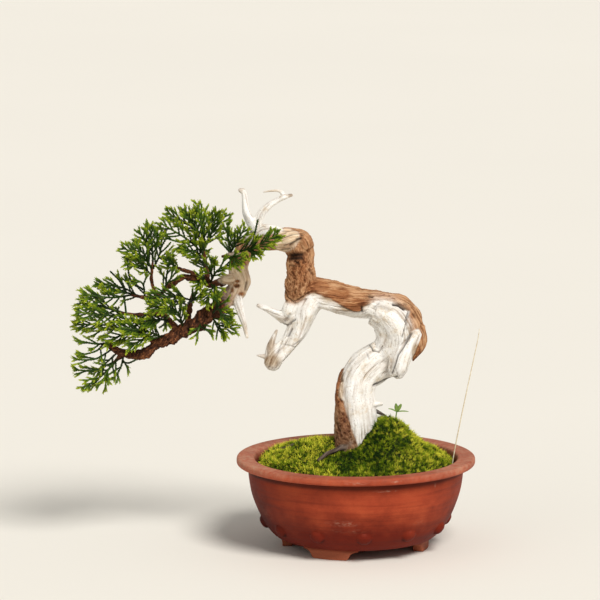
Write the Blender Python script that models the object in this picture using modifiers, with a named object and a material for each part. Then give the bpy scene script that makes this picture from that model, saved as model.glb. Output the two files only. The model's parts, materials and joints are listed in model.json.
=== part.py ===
"""An itoigawa juniper bonsai of semi-cascade habit, with its round clay pot.

The frame is +X to the right as the tree is shown, +Y away from the viewer and +Z up, with the origin on
the table under the middle of the whole piece. Sizes are in millimetres here and in metres in the scene.
A natural outline is a route of hand-chosen points in the front view: (across, down, depth), where across
and down are steps of half a millimetre on a 600 by 600 grid that looks 11.5 degrees down on the tree, and
depth is in millimetres behind the pot's axis.
"""

import math
import random
from dataclasses import dataclass

import bmesh
import bpy
import numpy as np
from mathutils import Matrix, Vector
from mathutils.bvhtree import BVHTree

MM = 0.001

# The front view
GRID_STEP = 0.5
POT_ACROSS = 356.0
TABLE_DOWN = 545.7
VIEW_DROP = math.sin(math.radians(11.5))
VIEW_RISE = math.cos(math.radians(11.5))

# Where the pot's axis stands from the middle of the whole piece
POT_X = 40.0

# Pot
POT_HEIGHT = 46.0
LIP_RADIUS = 60.0
LIP_THICKNESS = 3.6
MOUTH_RADIUS = 51.0
NECK_RADIUS = 53.6
BASE_RADIUS = 38.0
WALL = 4.0
FOOT_HEIGHT = 5.4
FLOOR_TOP = FOOT_HEIGHT + 4.2
POT_STEPS = 32
BED_STEPS = 24
ABOVE = 100.0
FEET = 4
FOOT_TURN = math.radians(-21.5)
FOOT_STAGGER = math.radians(10.5)
FOOT_WIDTH = 30.0
FOOT_DEPTH = 4.8
FOOT_ROOT = 1.6
FOOT_TAPER = 0.88
FOOT_SPLAY = 0.12
BOSSES = 12
BOSS_TURN = math.radians(4.8)
BOSS_HEIGHT = 13.0
BOSS_RADIUS = 3.5
BOSS_PROUD = 1.8
DRAIN_RADIUS = 6.0
SCREEN_SIZE = 17.0
SCREEN_BARS = 3
BAR_WIDTH = 1.3
BAR_HEIGHT = 0.7

# Bed
GAP = 0.3
HOLE_GAP = 0.4
WALL_GAP = 0.6
BED_EDGE = 42.0
BED_CROWN = 7.0
BED_REACH = 54.0
SOIL_EDGE = 39.5
SOIL_HEIGHTS = (12.4, 19.0, 29.0)
SOIL_SLOPE_START = 40.0
SOIL_SLOPE_END = 51.0
SOIL_FLOOR_GAP = 1.2
MOSS_DEPTH = 3.6
MOSS_LEAST = 1.2
MOSS_RADIUS = 47.5
MOSS_HEM = 0.4
SWELL_HEIGHT = 0.7

# Foliage
CORE_RADIUS = 0.85
CORE_TAPER = 0.35
STEM_STEP = 3.0
FINE_STEP = 0.15
SHOOT_RADIUS = 0.95
SHOOT_LENGTH = 7.0
SHOOT_SPREAD = (0.78, 1.05)
SHOOT_LEAN = (28.0, 46.0)
WAIST_SHARE = 0.38
NECK_SHARE = 0.60
FORK_RADIUS = 0.45
FORK_LEAN = (30.0, 42.0)
FORK_SPREAD = (0.42, 0.55)
SHOOT_CLEAR = 0.35
OWN_CLEAR = 0.12
SHOOT_TRIES = 10
SPRAY_TRIES = 40
FACE_PULL = 2.5


def place(across, down, depth=0.0):
    """The point, in millimetres, that the front view shows at this grid place and this depth."""
    x = (across - POT_ACROSS) * GRID_STEP + POT_X
    rise = (TABLE_DOWN - down) * GRID_STEP
    return Vector((x, depth, (rise - depth * VIEW_DROP) / VIEW_RISE))


def clear_scene():
    for obj in list(bpy.data.objects):
        bpy.data.objects.remove(obj)


def new_collection(name):
    collection = bpy.data.collections.new(name)
    bpy.context.scene.collection.children.link(collection)
    return collection


def finish(name, colour, roughness):
    """A plain Principled finish; colour is linear red, green and blue."""
    material = bpy.data.materials.new(name)
    material.use_nodes = True
    shader = material.node_tree.nodes["Principled BSDF"]
    shader.inputs["Base Color"].default_value = (*colour, 1.0)
    shader.inputs["Roughness"].default_value = roughness
    shader.inputs["Metallic"].default_value = 0.0
    return material


def object_from(name, bm, collection):
    """A new object at the scene's origin from a mesh in millimetres."""
    bmesh.ops.scale(bm, vec=(MM, MM, MM), verts=bm.verts)
    bmesh.ops.recalc_face_normals(bm, faces=bm.faces)
    if bm.calc_volume(signed=True) < 0:
        bmesh.ops.reverse_faces(bm, faces=bm.faces)
    mesh = bpy.data.meshes.new(name)
    bm.to_mesh(mesh)
    bm.free()
    obj = bpy.data.objects.new(name, mesh)
    collection.objects.link(obj)
    return obj


def evaluated_mesh(obj):
    bpy.context.view_layer.update()
    graph = bpy.context.evaluated_depsgraph_get()
    return bpy.data.meshes.new_from_object(obj.evaluated_get(graph))


def remove(obj):
    mesh = obj.data
    bpy.data.objects.remove(obj)
    bpy.data.meshes.remove(mesh)


def keep_outer_body(mesh):
    """Fills the hollows that a union sealed and drops any loose scrap: only the largest shell stays."""
    bm = bmesh.new()
    bm.from_mesh(mesh)
    left = set(bm.verts)
    shells = []
    while left:
        shell = {left.pop()}
        edge = list(shell)
        while edge:
            near = {link.other_vert(vertex) for vertex in edge for link in vertex.link_edges} - shell
            shell |= near
            edge = list(near)
        left -= shell
        shells.append(shell)
    widest = max(shells, key=lambda shell: shell_size(shell))
    spare = [vertex for shell in shells if shell is not widest for vertex in shell]
    bmesh.ops.delete(bm, geom=spare, context="VERTS")
    bm.to_mesh(mesh)
    bm.free()


def shell_size(shell):
    places = np.array([vertex.co for vertex in shell])
    return float(np.linalg.norm(places.max(axis=0) - places.min(axis=0)))


def joined(name, pieces, collection, solver="EXACT"):
    """One object from pieces that overlap, by one Boolean union on their collection."""
    first, others = pieces[0], pieces[1:]
    rest = bpy.data.collections.new(name + "_pieces")
    for piece in others:
        for held in list(piece.users_collection):
            held.objects.unlink(piece)
        rest.objects.link(piece)
    union = first.modifiers.new("join", "BOOLEAN")
    union.operation = "UNION"
    union.operand_type = "COLLECTION"
    union.collection = rest
    union.solver = solver
    mesh = evaluated_mesh(first)
    for piece in pieces:
        remove(piece)
    bpy.data.collections.remove(rest)
    keep_outer_body(mesh)
    mesh.name = name
    obj = bpy.data.objects.new(name, mesh)
    collection.objects.link(obj)
    return obj


def cut(obj, cutter, solver="EXACT"):
    """Takes the cutter's shape out of the object; the cutter stays as a hidden guide."""
    cutter.hide_render = True
    cutter.display_type = "WIRE"
    difference = obj.modifiers.new("cut_" + cutter.name, "BOOLEAN")
    difference.operation = "DIFFERENCE"
    difference.object = cutter
    difference.solver = solver


def dress(obj, material, sharp=35.0):
    obj.data.materials.clear()
    obj.data.materials.append(material)
    obj.data.shade_smooth()
    obj.data.set_sharp_from_angle(angle=math.radians(sharp))


def smooth_route(points, spacing):
    """Points, each with its radius, on one smooth curve through those given, about this far apart."""
    rows = [np.array((*point[:3], point[3]), float) for point in points]
    rows = [2 * rows[0] - rows[1], *rows, 2 * rows[-1] - rows[-2]]
    found = []
    for before, start, end, after in zip(rows, rows[1:], rows[2:], rows[3:]):
        length = np.linalg.norm((end - start)[:3])
        steps = max(1, round(length / spacing))
        for step in range(steps):
            t = step / steps
            found.append(
                0.5
                * (
                    2 * start
                    + (end - before) * t
                    + (2 * before - 5 * start + 4 * end - after) * t**2
                    + (3 * start - before - 3 * end + after) * t**3
                )
            )
    found.append(rows[-2])
    return found


def frames_along(route):
    """A tangent and two crosswise directions at each point, turning no more than the route does."""
    points = [Vector(row[:3]) for row in route]
    frames = []
    across = None
    for index, point in enumerate(points):
        ahead = points[min(index + 1, len(points) - 1)] - points[max(index - 1, 0)]
        ahead.normalize()
        if across is None:
            guide = Vector((0, 1, 0)) if abs(ahead.y) < 0.8 else Vector((0, 0, 1))
            across = ahead.cross(guide).normalized()
        across = (across - ahead * across.dot(ahead)).normalized()
        frames.append((point, ahead, across, ahead.cross(across)))
    return frames


@dataclass(frozen=True)
class Section:
    """How a limb's section departs from a circle: so many ridges of this height, turning as they climb."""

    sides: int = 8
    ridges: int = 0
    height: float = 0.0
    turn: float = 0.0
    phase: float = 0.0


def limb_mesh(route, section, grow=0.0, blunt=False):
    """A closed loft along the route. blunt rounds its far end over."""
    rows = [(row, 1.0) for row in route]
    if blunt:
        last = route[-1]
        ahead = last - route[-2]
        ahead = ahead / np.linalg.norm(ahead[:3]) * last[3]
        rows.append((last + np.array((*ahead[:3] * 0.55, 0)), 0.8))
        rows.append((last + np.array((*ahead[:3] * 0.9, 0)), 0.4))
    frames = frames_along([row for row, _ in rows])
    bm = bmesh.new()
    rings = []
    run = 0.0
    before = frames[0][0]
    for (row, share), (point, _, across, up) in zip(rows, frames):
        run += (point - before).length
        before = point
        ring = []
        for side in range(section.sides):
            angle = 2 * math.pi * side / section.sides
            ridge = math.cos(section.ridges * angle + section.turn * run + section.phase)
            radius = (row[3] * (1 + section.height * ridge) + grow) * share
            ring.append(bm.verts.new(point + (across * math.cos(angle) + up * math.sin(angle)) * radius))
        rings.append(ring)
    for low, high in zip(rings, rings[1:]):
        for side in range(section.sides):
            after = (side + 1) % section.sides
            bm.faces.new((low[side], low[after], high[after], high[side]))
    bm.faces.new(reversed(rings[0]))
    bm.faces.new(rings[-1])
    return bm


@dataclass(frozen=True)
class Limb:
    """A stretch of wood: its route as (across, down, depth, thickness), and how it is lofted."""

    route: tuple
    section: Section = Section()
    spacing: float = 4.8
    blunt: bool = False

    def rows(self):
        points = [(*place(*row[:3]), row[3] / 2) for row in self.route]
        return smooth_route(points, self.spacing)

    def mesh(self, grow=0.0):
        return limb_mesh(self.rows(), self.section, grow, self.blunt)


# The trunk, its deadwood and its bark twigs grew as one piece.
FLUTED = Section(sides=11, ridges=4, height=0.07, turn=0.03)
TWISTED = Section(sides=11, ridges=3, height=0.08, turn=0.07, phase=1.0)
BARKED = Section(sides=8, ridges=3, height=0.10, turn=0.35)
JIN = Section(sides=6, ridges=2, height=0.10, turn=0.15)
TWIG = Section(sides=5, ridges=3, height=0.08, turn=0.5)

LIMBS = {
    "foot": Limb(
        ((356, 484, 0, 19), (355.5, 466, 0, 21), (355.5, 446, 0, 21.5), (355.5, 424, 0.5, 21),
         (355, 404, 1, 19.8), (355.5, 389, 1.5, 18.6), (362, 374, 2.5, 17.8), (374, 362, 3.5, 17.6),
         (388, 352, 4.5, 16.5), (398, 343, 5, 14)),
        FLUTED,
        spacing=6.0,
    ),
    "live_foot": Limb(
        ((339.5, 384, -2, 4), (339.5, 400, -3, 7), (341.5, 420, -4, 9.5), (345, 440, -5, 11),
         (348, 462, -5, 12)),
        Section(sides=8, ridges=3, height=0.08, turn=0.1),
    ),
    "bend": Limb(
        ((380, 360, 4.5, 12), (394, 351, 5, 14), (405, 341, 5, 15), (409.5, 329, 4.5, 15.5),
         (407, 316, 4, 15.5), (398, 306, 3, 14), (386, 302, 2, 11.5), (374, 301, 1, 9)),
        TWISTED,
        spacing=5.0,
    ),
    "white_block": Limb(
        ((375, 309, 0, 15), (388, 316, 0, 18), (395.5, 329, 1, 19), (393, 343, 2, 18),
         (384, 354, 3, 15)),
        FLUTED,
        spacing=6.0,
    ),
    "inner_lobe": Limb(
        ((384, 356, 1, 7), (378, 349, 0, 6.5), (373, 344.5, 0, 3)),
        JIN,
    ),
    "shelf": Limb(
        ((390, 305, 2, 14), (374, 303.5, 1, 14.6), (358, 302, 0.5, 15), (342, 299, 0, 15.6),
         (327, 294, -1, 14.6), (311, 291, -2, 14), (300, 292, -2.5, 11)),
        TWISTED,
        spacing=6.5,
    ),
    "column": Limb(
        ((298, 244, -3, 12.5), (300.5, 255, -3, 12.8), (300.5, 266, -3, 13), (300.8, 278, -3, 14),
         (299, 289, -3, 14.4), (296, 297, -3, 11)),
        FLUTED,
        spacing=5.5,
        blunt=True,
    ),
    "arch": Limb(
        ((304, 248, -3, 12), (301, 240, -3, 13.5), (291, 238, -2.5, 14.5), (278, 238, -1, 13),
         (265, 238.5, 1, 11.6), (252.5, 244, 3, 10.2), (243.5, 254, 4, 9.6), (239, 267, 3.5, 9.6),
         (240, 281, 2.5, 10.8), (236, 292, 1, 9.4), (229, 299.5, 0, 8.4)),
        Section(sides=10, ridges=3, height=0.09, turn=0.1),
    ),
    "branch": Limb(
        ((238, 288, 1.5, 8.8), (228, 299, 0, 8.2), (214, 311, -1, 7.6), (200, 320, -2, 7.8),
         (187, 328, -3, 8.2), (173, 335.5, -4, 7), (159, 342.5, -5, 6.6), (146, 350, -6, 6.2),
         (134, 355, -6.5, 5.2), (123.5, 352.5, -6.5, 4.4), (114, 347.5, -6.5, 3.6),
         (107.5, 342.5, -6.5, 2.4)),
        BARKED,
        spacing=4.8,
    ),
    "stub": Limb(
        ((240, 280, 2.5, 6), (231, 279.5, 0, 5.6), (222.5, 279.5, -2, 4.4)),
        JIN,
    ),
    "low_jin": Limb(
        ((236.5, 293, -1, 5), (237.5, 303, -3, 5), (239.5, 315, -4, 3.8), (243, 326, -5, 2.9),
         (246.3, 337, -6, 1.6)),
        JIN,
    ),
    "jin_foot": Limb(
        ((250, 241, 1, 6), (262, 231.5, -1, 6.5), (275, 232, -2, 6), (286, 236, -3, 4)),
        JIN,
    ),
    "left_jin": Limb(
        ((259, 233, -1, 5.5), (251, 223, 0, 4.6), (246.5, 213, 1, 3.6), (244.5, 201, 2, 3.2),
         (243, 193.5, 2.5, 3), (239.6, 190.6, 2.5, 2.2)),
        JIN,
        spacing=3.0,
    ),
    "right_jin": Limb(
        ((258, 230, -1, 5), (259.5, 219, 0, 4.6), (266, 209.5, 0, 3.8), (276, 202.5, 0, 3.2),
         (286, 198.8, -0.5, 2.4), (292.3, 196.5, -1, 1.5)),
        JIN,
        spacing=3.0,
    ),
    "jin_fork": Limb(
        ((284.5, 199.5, -0.5, 1.8), (281, 194.5, -0.5, 1.7), (277, 192.6, -0.5, 1.3),
         (270, 192.5, 0, 1.1), (263, 193.5, 0.5, 0.8)),
        TWIG,
        spacing=3.0,
    ),
    "hanging_wood": Limb(
        ((318, 295, -2, 12), (308, 304, -3, 13), (302, 318, -3.5, 12), (297, 331, -4, 10.4),
         (288, 345, -4, 8.6), (277.5, 356, -4, 9.4), (273, 364, -4, 8.6)),
        TWISTED,
        blunt=True,
    ),
    "left_spur": Limb(
        ((300, 318, -3, 6), (290, 319.5, -3, 5), (279, 315.5, -3, 4.6), (268, 310, -3, 3.8),
         (257.5, 305.3, -3, 2.4)),
        JIN,
    ),
    "horn": Limb(
        ((272, 360, -4, 4.5), (271.5, 348, -4, 3.4), (274, 339, -4, 2.4), (277.2, 330.3, -4, 1)),
        JIN,
    ),
    "spike": Limb(
        ((272, 358, -4, 3.6), (264, 356.2, -4, 2.4), (256.6, 355.2, -4, 0.8)),
        JIN,
    ),
    "hanging_jin": Limb(
        ((417, 331, -1, 4), (412, 338, -3.5, 5.6), (406.5, 350, -5.5, 7.2), (402.5, 362, -6.5, 8.2),
         (400.5, 374.5, -7, 7.4)),
        Section(sides=9, ridges=3, height=0.1, turn=0.1),
        spacing=3.0,
    ),
    "live_tip": Limb(
        ((417, 327, 4, 8), (420, 339, 3, 7), (418.5, 349, 2, 5), (413, 360.5, 1, 1)),
        JIN,
        spacing=3.0,
    ),
    "surface_root": Limb(
        ((352, 442, -7, 6), (343, 449, -10, 4), (332, 452.5, -13, 3), (323, 457, -15, 2.4),
         (317.5, 460.5, -16, 1.8)),
        JIN,
        spacing=3.5,
    ),
    "twig_stub": Limb(
        ((368, 405, -2, 2.4), (376, 404.5, -2, 1.6), (382.4, 403.8, -2, 0.9)),
        TWIG,
    ),
    "dark_spur": Limb(
        ((370, 408, 4, 3), (379, 412, 3, 1.9), (386, 415.5, 2, 1.3)),
        TWIG,
    ),
    "crown_twig": Limb(
        ((238, 276, 2, 4.4), (222, 282, 0, 3.8), (208, 283, -1, 3.4), (197, 280, -1, 3.2),
         (186, 277, -1, 2.8), (176, 282, -0.5, 2.5), (166, 289, 0, 2.3), (156, 298, 0, 2.2),
         (143, 297, 0, 1.9), (131, 295, 0, 1.5)),
        TWIG,
    ),
    "top_twig": Limb(
        ((208, 283, -1, 2.6), (206.5, 268, 1, 2.2), (204, 254, 2, 1.9), (202, 243, 2.5, 1.5)),
        TWIG,
    ),
    "red_twig": Limb(
        ((202, 281, -1, 2.4), (192, 273.5, -3, 2.2), (182, 270, -4, 1.8), (177, 268, -4.5, 1.3)),
        TWIG,
    ),
    "high_twig": Limb(
        ((157, 298, 0, 2), (152, 284, 0, 1.8), (152, 272, 0, 1.6), (153, 262, 0, 1.3)),
        TWIG,
    ),
    "arm_twig": Limb(
        ((243, 254, 3, 3.2), (233, 254, -2, 2.4), (222, 257, -3, 1.6)),
        TWIG,
    ),
    "right_twig": Limb(
        ((206, 317, -2, 3.6), (212, 314, -4, 3.2), (214, 309, -5, 2.6)),
        TWIG,
        spacing=2.5,
    ),
    "low_twig": Limb(
        ((178, 333, -4, 3), (172, 323, -3.5, 2.6), (164, 315.5, -3, 2.6), (150, 314.5, -3, 3.4)),
        TWIG,
    ),
    "back_twig": Limb(
        ((188, 328, -2, 3.2), (188, 314, 1, 2.8), (191, 302, 2, 2.4), (193, 292, 2, 1.8)),
        TWIG,
    ),
    "outer_twig": Limb(
        ((152, 315, -3, 1.8), (136, 314.5, -2.5, 1.7), (121, 313, -2, 1.4)),
        TWIG,
    ),
    "left_twig": Limb(
        ((156, 343, -5, 2.6), (140, 333.5, -5, 2), (126, 329.5, -5, 1.5)),
        TWIG,
    ),
    "drop_twig": Limb(
        ((124, 353, -6.5, 2.8), (118.5, 358, -7, 2.3), (114, 362, -7, 1.6)),
        TWIG,
        spacing=2.5,
    ),
}


def rounded_profile(rows):
    """A turned profile in a mesh, from (radius, height) rows that run down the outer side first."""
    bm = bmesh.new()
    points = [bm.verts.new((radius, 0, height)) for radius, height in rows]
    for start, end in zip(points, points[1:]):
        bm.edges.new((start, end))
    bmesh.ops.scale(bm, vec=(MM, MM, MM), verts=bm.verts)
    return bm


def turned(name, rows, steps, collection):
    """A solid of revolution about the pot's axis, standing where the pot stands."""
    mesh = bpy.data.meshes.new(name)
    bm = rounded_profile(rows)
    bm.to_mesh(mesh)
    bm.free()
    obj = bpy.data.objects.new(name, mesh)
    obj.location = (POT_X * MM, 0, 0)
    collection.objects.link(obj)
    screw = obj.modifiers.new("turn", "SCREW")
    screw.steps = steps
    screw.render_steps = steps
    screw.use_merge_vertices = True
    screw.merge_threshold = 0.00001
    return obj


def outer_radius(height):
    """The bowl's outside below the lip: straight at the neck, full, then rounding in to its base."""
    rise = (height - FOOT_HEIGHT) / (POT_HEIGHT - LIP_THICKNESS - FOOT_HEIGHT)
    belly = math.sin(math.pi / 2 * min(1.0, rise)) ** 0.62
    return BASE_RADIUS + (NECK_RADIUS + 0.6 - BASE_RADIUS) * belly


def inner_radius(height):
    return min(MOUTH_RADIUS, outer_radius(height - 1.5) - WALL)


def bowl_profile():
    """The bowl's section, from the lip down the outside, under the base, through the drain hole and up."""
    lip_low = POT_HEIGHT - LIP_THICKNESS
    lip = [
        (MOUTH_RADIUS + 1.2, POT_HEIGHT),
        (LIP_RADIUS - 1.2, POT_HEIGHT),
        (LIP_RADIUS - 0.25, POT_HEIGHT - 0.8),
        (LIP_RADIUS - 0.1, lip_low + 0.9),
        (LIP_RADIUS - 1.6, lip_low),
        (NECK_RADIUS + 0.2, lip_low - 0.4),
    ]
    heights = [37, 30, 23, 17, 12, 8.4, FOOT_HEIGHT]
    outside = [(outer_radius(height), height) for height in heights]
    under = [(BASE_RADIUS - 2.5, FOOT_HEIGHT - 0.2), (DRAIN_RADIUS, FOOT_HEIGHT)]
    floor = [(DRAIN_RADIUS, FLOOR_TOP), (inner_radius(FLOOR_TOP) - 2.5, FLOOR_TOP)]
    inside = [(inner_radius(height), height) for height in (*SOIL_HEIGHTS, SOIL_EDGE)]
    return lip + outside + under + floor + inside + [(MOUTH_RADIUS, POT_HEIGHT - 1.0)]


def foot_mesh(turn):
    """One bracket foot: a scrolled outline, extruded inwards, under the edge of the base."""
    half = FOOT_WIDTH / 2
    top = FOOT_HEIGHT + FOOT_ROOT
    low = [(0, FOOT_HEIGHT - 0.6), (1.2, 4.3), (2.9, 3.7), (4.3, 2.9), (5.0, 1.6), (6.6, 0.0)]
    side = [(half, top)] + [(half - inset, height) for inset, height in low]
    outline = side + [(-across, height) for across, height in reversed(side)]
    bm = bmesh.new()
    outer = []
    for across, height in outline:
        bow = math.sqrt((BASE_RADIUS - 0.3) ** 2 - across**2)
        outer.append(bm.verts.new((across, -bow + (top - height) * FOOT_SPLAY, height)))
    face = bm.faces.new(outer)
    back = bmesh.ops.extrude_face_region(bm, geom=[face])["geom"]
    for vertex in (item for item in back if isinstance(item, bmesh.types.BMVert)):
        vertex.co.x *= FOOT_TAPER
        vertex.co.y += FOOT_DEPTH
    bmesh.ops.rotate(bm, verts=bm.verts, matrix=Matrix.Rotation(turn, 3, "Z"))
    bmesh.ops.translate(bm, verts=bm.verts, vec=(POT_X, 0, 0))
    return bm


def boss_mesh(turn):
    """A round stud, low and domed, on the bowl's side."""
    bm = bmesh.new()
    bmesh.ops.create_uvsphere(bm, u_segments=7, v_segments=4, radius=BOSS_RADIUS)
    bmesh.ops.scale(bm, verts=bm.verts, vec=(1, 1, 1.15 * BOSS_PROUD / BOSS_RADIUS))
    slope = math.atan2(outer_radius(BOSS_HEIGHT + 2) - outer_radius(BOSS_HEIGHT - 2), 4.0)
    bmesh.ops.rotate(bm, verts=bm.verts, matrix=Matrix.Rotation(math.pi / 2 + slope, 3, "X"))
    bmesh.ops.translate(bm, verts=bm.verts, vec=(0, -outer_radius(BOSS_HEIGHT) - 0.1, BOSS_HEIGHT))
    bmesh.ops.rotate(bm, verts=bm.verts, matrix=Matrix.Rotation(turn, 3, "Z"))
    bmesh.ops.translate(bm, verts=bm.verts, vec=(POT_X, 0, 0))
    return bm


def make_pot(collection, clay):
    bowl = turned("bowl", bowl_profile() + [bowl_profile()[0]], POT_STEPS, collection)
    mesh = evaluated_mesh(bowl)
    mesh.transform(bowl.matrix_world)
    remove(bowl)
    bowl = bpy.data.objects.new("bowl", mesh)
    collection.objects.link(bowl)
    pieces = [bowl]
    for foot in range(FEET):
        turn = FOOT_TURN + foot * 2 * math.pi / FEET + foot % 2 * FOOT_STAGGER
        pieces.append(object_from(f"foot_{foot}", foot_mesh(turn), collection))
    for boss in range(BOSSES):
        turn = BOSS_TURN + boss * 2 * math.pi / BOSSES
        pieces.append(object_from(f"boss_{boss}", boss_mesh(turn), collection))
    pot = joined("pot", pieces, collection)
    dress(pot, clay)
    return pot


@dataclass(frozen=True)
class Swell:
    """A rounded rise in the bed, or a dip if its height is negative: its middle, half-widths, height."""

    x: float
    y: float
    wide: float
    deep: float
    height: float

    def rise(self, x, y):
        across = (x - self.x) / self.wide
        along = (y - self.y) / self.deep
        return self.height * math.exp(-(across**2 + along**2) / 2)


BED_FORM = (
    Swell(16, -1, 11.5, 17, 17.0),
    Swell(-24, 1, 12, 18, 5.0),
    Swell(-4, -22, 9, 12, -4.5),
)


def hill(x, y):
    """The bed's height at a place measured from the pot's axis."""
    reach = min(1.0, math.hypot(x, y) / BED_REACH)
    crown = max(0.0, math.cos(reach * math.pi / 2)) ** 0.8
    return BED_EDGE + BED_CROWN * crown + sum(swell.rise(x, y) for swell in BED_FORM)


def soil_top(x, y):
    """The soil follows the mound under the moss and sinks to its edge at the wall."""
    slope = (math.hypot(x, y) - SOIL_SLOPE_START) / (SOIL_SLOPE_END - SOIL_SLOPE_START)
    slope = min(1.0, max(0.0, slope))
    return (hill(x, y) - MOSS_DEPTH - GAP) * (1 - slope) + SOIL_EDGE * slope


def moss_top(x, y):
    """Cushions of moss, low at the rim, with swells a few millimetres across."""
    swell = SWELL_HEIGHT * math.sin(0.42 * x + 0.5 * math.sin(0.3 * y)) * math.cos(0.37 * y + 0.8)
    return hill(x, y) + swell


def shaped(obj, fit):
    """The turned solid as a mesh of triangles, with each vertex's height set by fit(x, y, height)."""
    mesh = evaluated_mesh(obj)
    name, collection = obj.name, obj.users_collection[0]
    remove(obj)
    for vertex in mesh.vertices:
        x, y, height = vertex.co / MM
        vertex.co.z = fit(x, y, height) * MM
    bm = bmesh.new()
    bm.from_mesh(mesh)
    bmesh.ops.triangulate(bm, faces=bm.faces, quad_method="SHORT_EDGE")
    bm.to_mesh(mesh)
    bm.free()
    made = bpy.data.objects.new(name, mesh)
    made.location = (POT_X * MM, 0, 0)
    collection.objects.link(made)
    return made


def make_soil(collection, material, hole):
    """Soil fills the bowl from just above its floor, with a plain hole for the trunk's foot."""
    rings = [0, 8, 15, 22, 29, 36, 43, 47.5]
    side = [(inner_radius(height) - WALL_GAP, height) for height in reversed(SOIL_HEIGHTS)]
    low = FLOOR_TOP + SOIL_FLOOR_GAP
    under = [(inner_radius(FLOOR_TOP) - 3.0, low), (0, low)]
    top = [(ring, ABOVE) for ring in rings] + [(inner_radius(SOIL_EDGE) - WALL_GAP, ABOVE)]
    soil = turned("soil", top + side + under, BED_STEPS, collection)
    soil = shaped(soil, lambda x, y, height: soil_top(x, y) if height > ABOVE - 1 else height)
    cut(soil, hole)
    dress(soil, material)
    return soil


def make_moss(collection, material, hole):
    """Moss covers the mound as one mat, with a hole for the trunk and a channel for the surface root."""
    rings = [0, 8, 15, 22, 29, 36, 43]
    top = [(ring, ABOVE) for ring in rings]
    hem = [(MOSS_RADIUS, ABOVE / 2)]
    bottom = [(ring, 0.0) for ring in reversed(rings)]
    moss = turned("moss", top + hem + bottom, BED_STEPS, collection)

    def fit(x, y, height):
        rest = soil_top(x, y) + GAP
        if height > ABOVE - 1:
            return max(moss_top(x, y), rest + MOSS_LEAST)
        return rest + (MOSS_HEM if height > 1 else 0.0)

    moss = shaped(moss, fit)
    cut(moss, hole)
    dress(moss, material)
    return moss


def make_trunk(collection, cutters, material):
    pieces = [object_from("limb_" + name, limb.mesh(), collection) for name, limb in LIMBS.items()]
    trunk = joined("trunk", pieces, collection)
    dress(trunk, material, sharp=60)
    holes = [
        object_from("hole_" + name, LIMBS[name].mesh(grow=HOLE_GAP), cutters)
        for name in ("foot", "live_foot", "surface_root", "dark_spur")
    ]
    hole = joined("trunk_hole", holes, cutters)
    return trunk, hole


def make_drain_screen(collection, material):
    """A flat square of plastic net over the drain hole, under the soil."""
    pieces = []
    for index in range(SCREEN_BARS):
        offset = (index / (SCREEN_BARS - 1) - 0.5) * (SCREEN_SIZE - BAR_WIDTH - 0.1)
        for along in (0, 1):
            bm = bmesh.new()
            bmesh.ops.create_cube(bm, size=1.0)
            size = (SCREEN_SIZE, BAR_WIDTH, BAR_HEIGHT)
            if not along:
                size = (BAR_WIDTH, SCREEN_SIZE, BAR_HEIGHT * 0.94)
            bmesh.ops.scale(bm, verts=bm.verts, vec=size)
            shift = (0, offset, 0) if along else (offset, 0, 0)
            rest = Vector((POT_X, 0, FLOOR_TOP + GAP + BAR_HEIGHT / 2))
            bmesh.ops.translate(bm, verts=bm.verts, vec=Vector(shift) + rest)
            pieces.append(object_from(f"bar_{along}_{index}", bm, collection))
    screen = joined("drain_screen", pieces, collection)
    dress(screen, material)
    return screen


@dataclass(frozen=True)
class Arm:
    """A green stem and its shoots: a route of (across, down, depth) to the tip, and a shoot count."""

    route: tuple
    shoots: int


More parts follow.
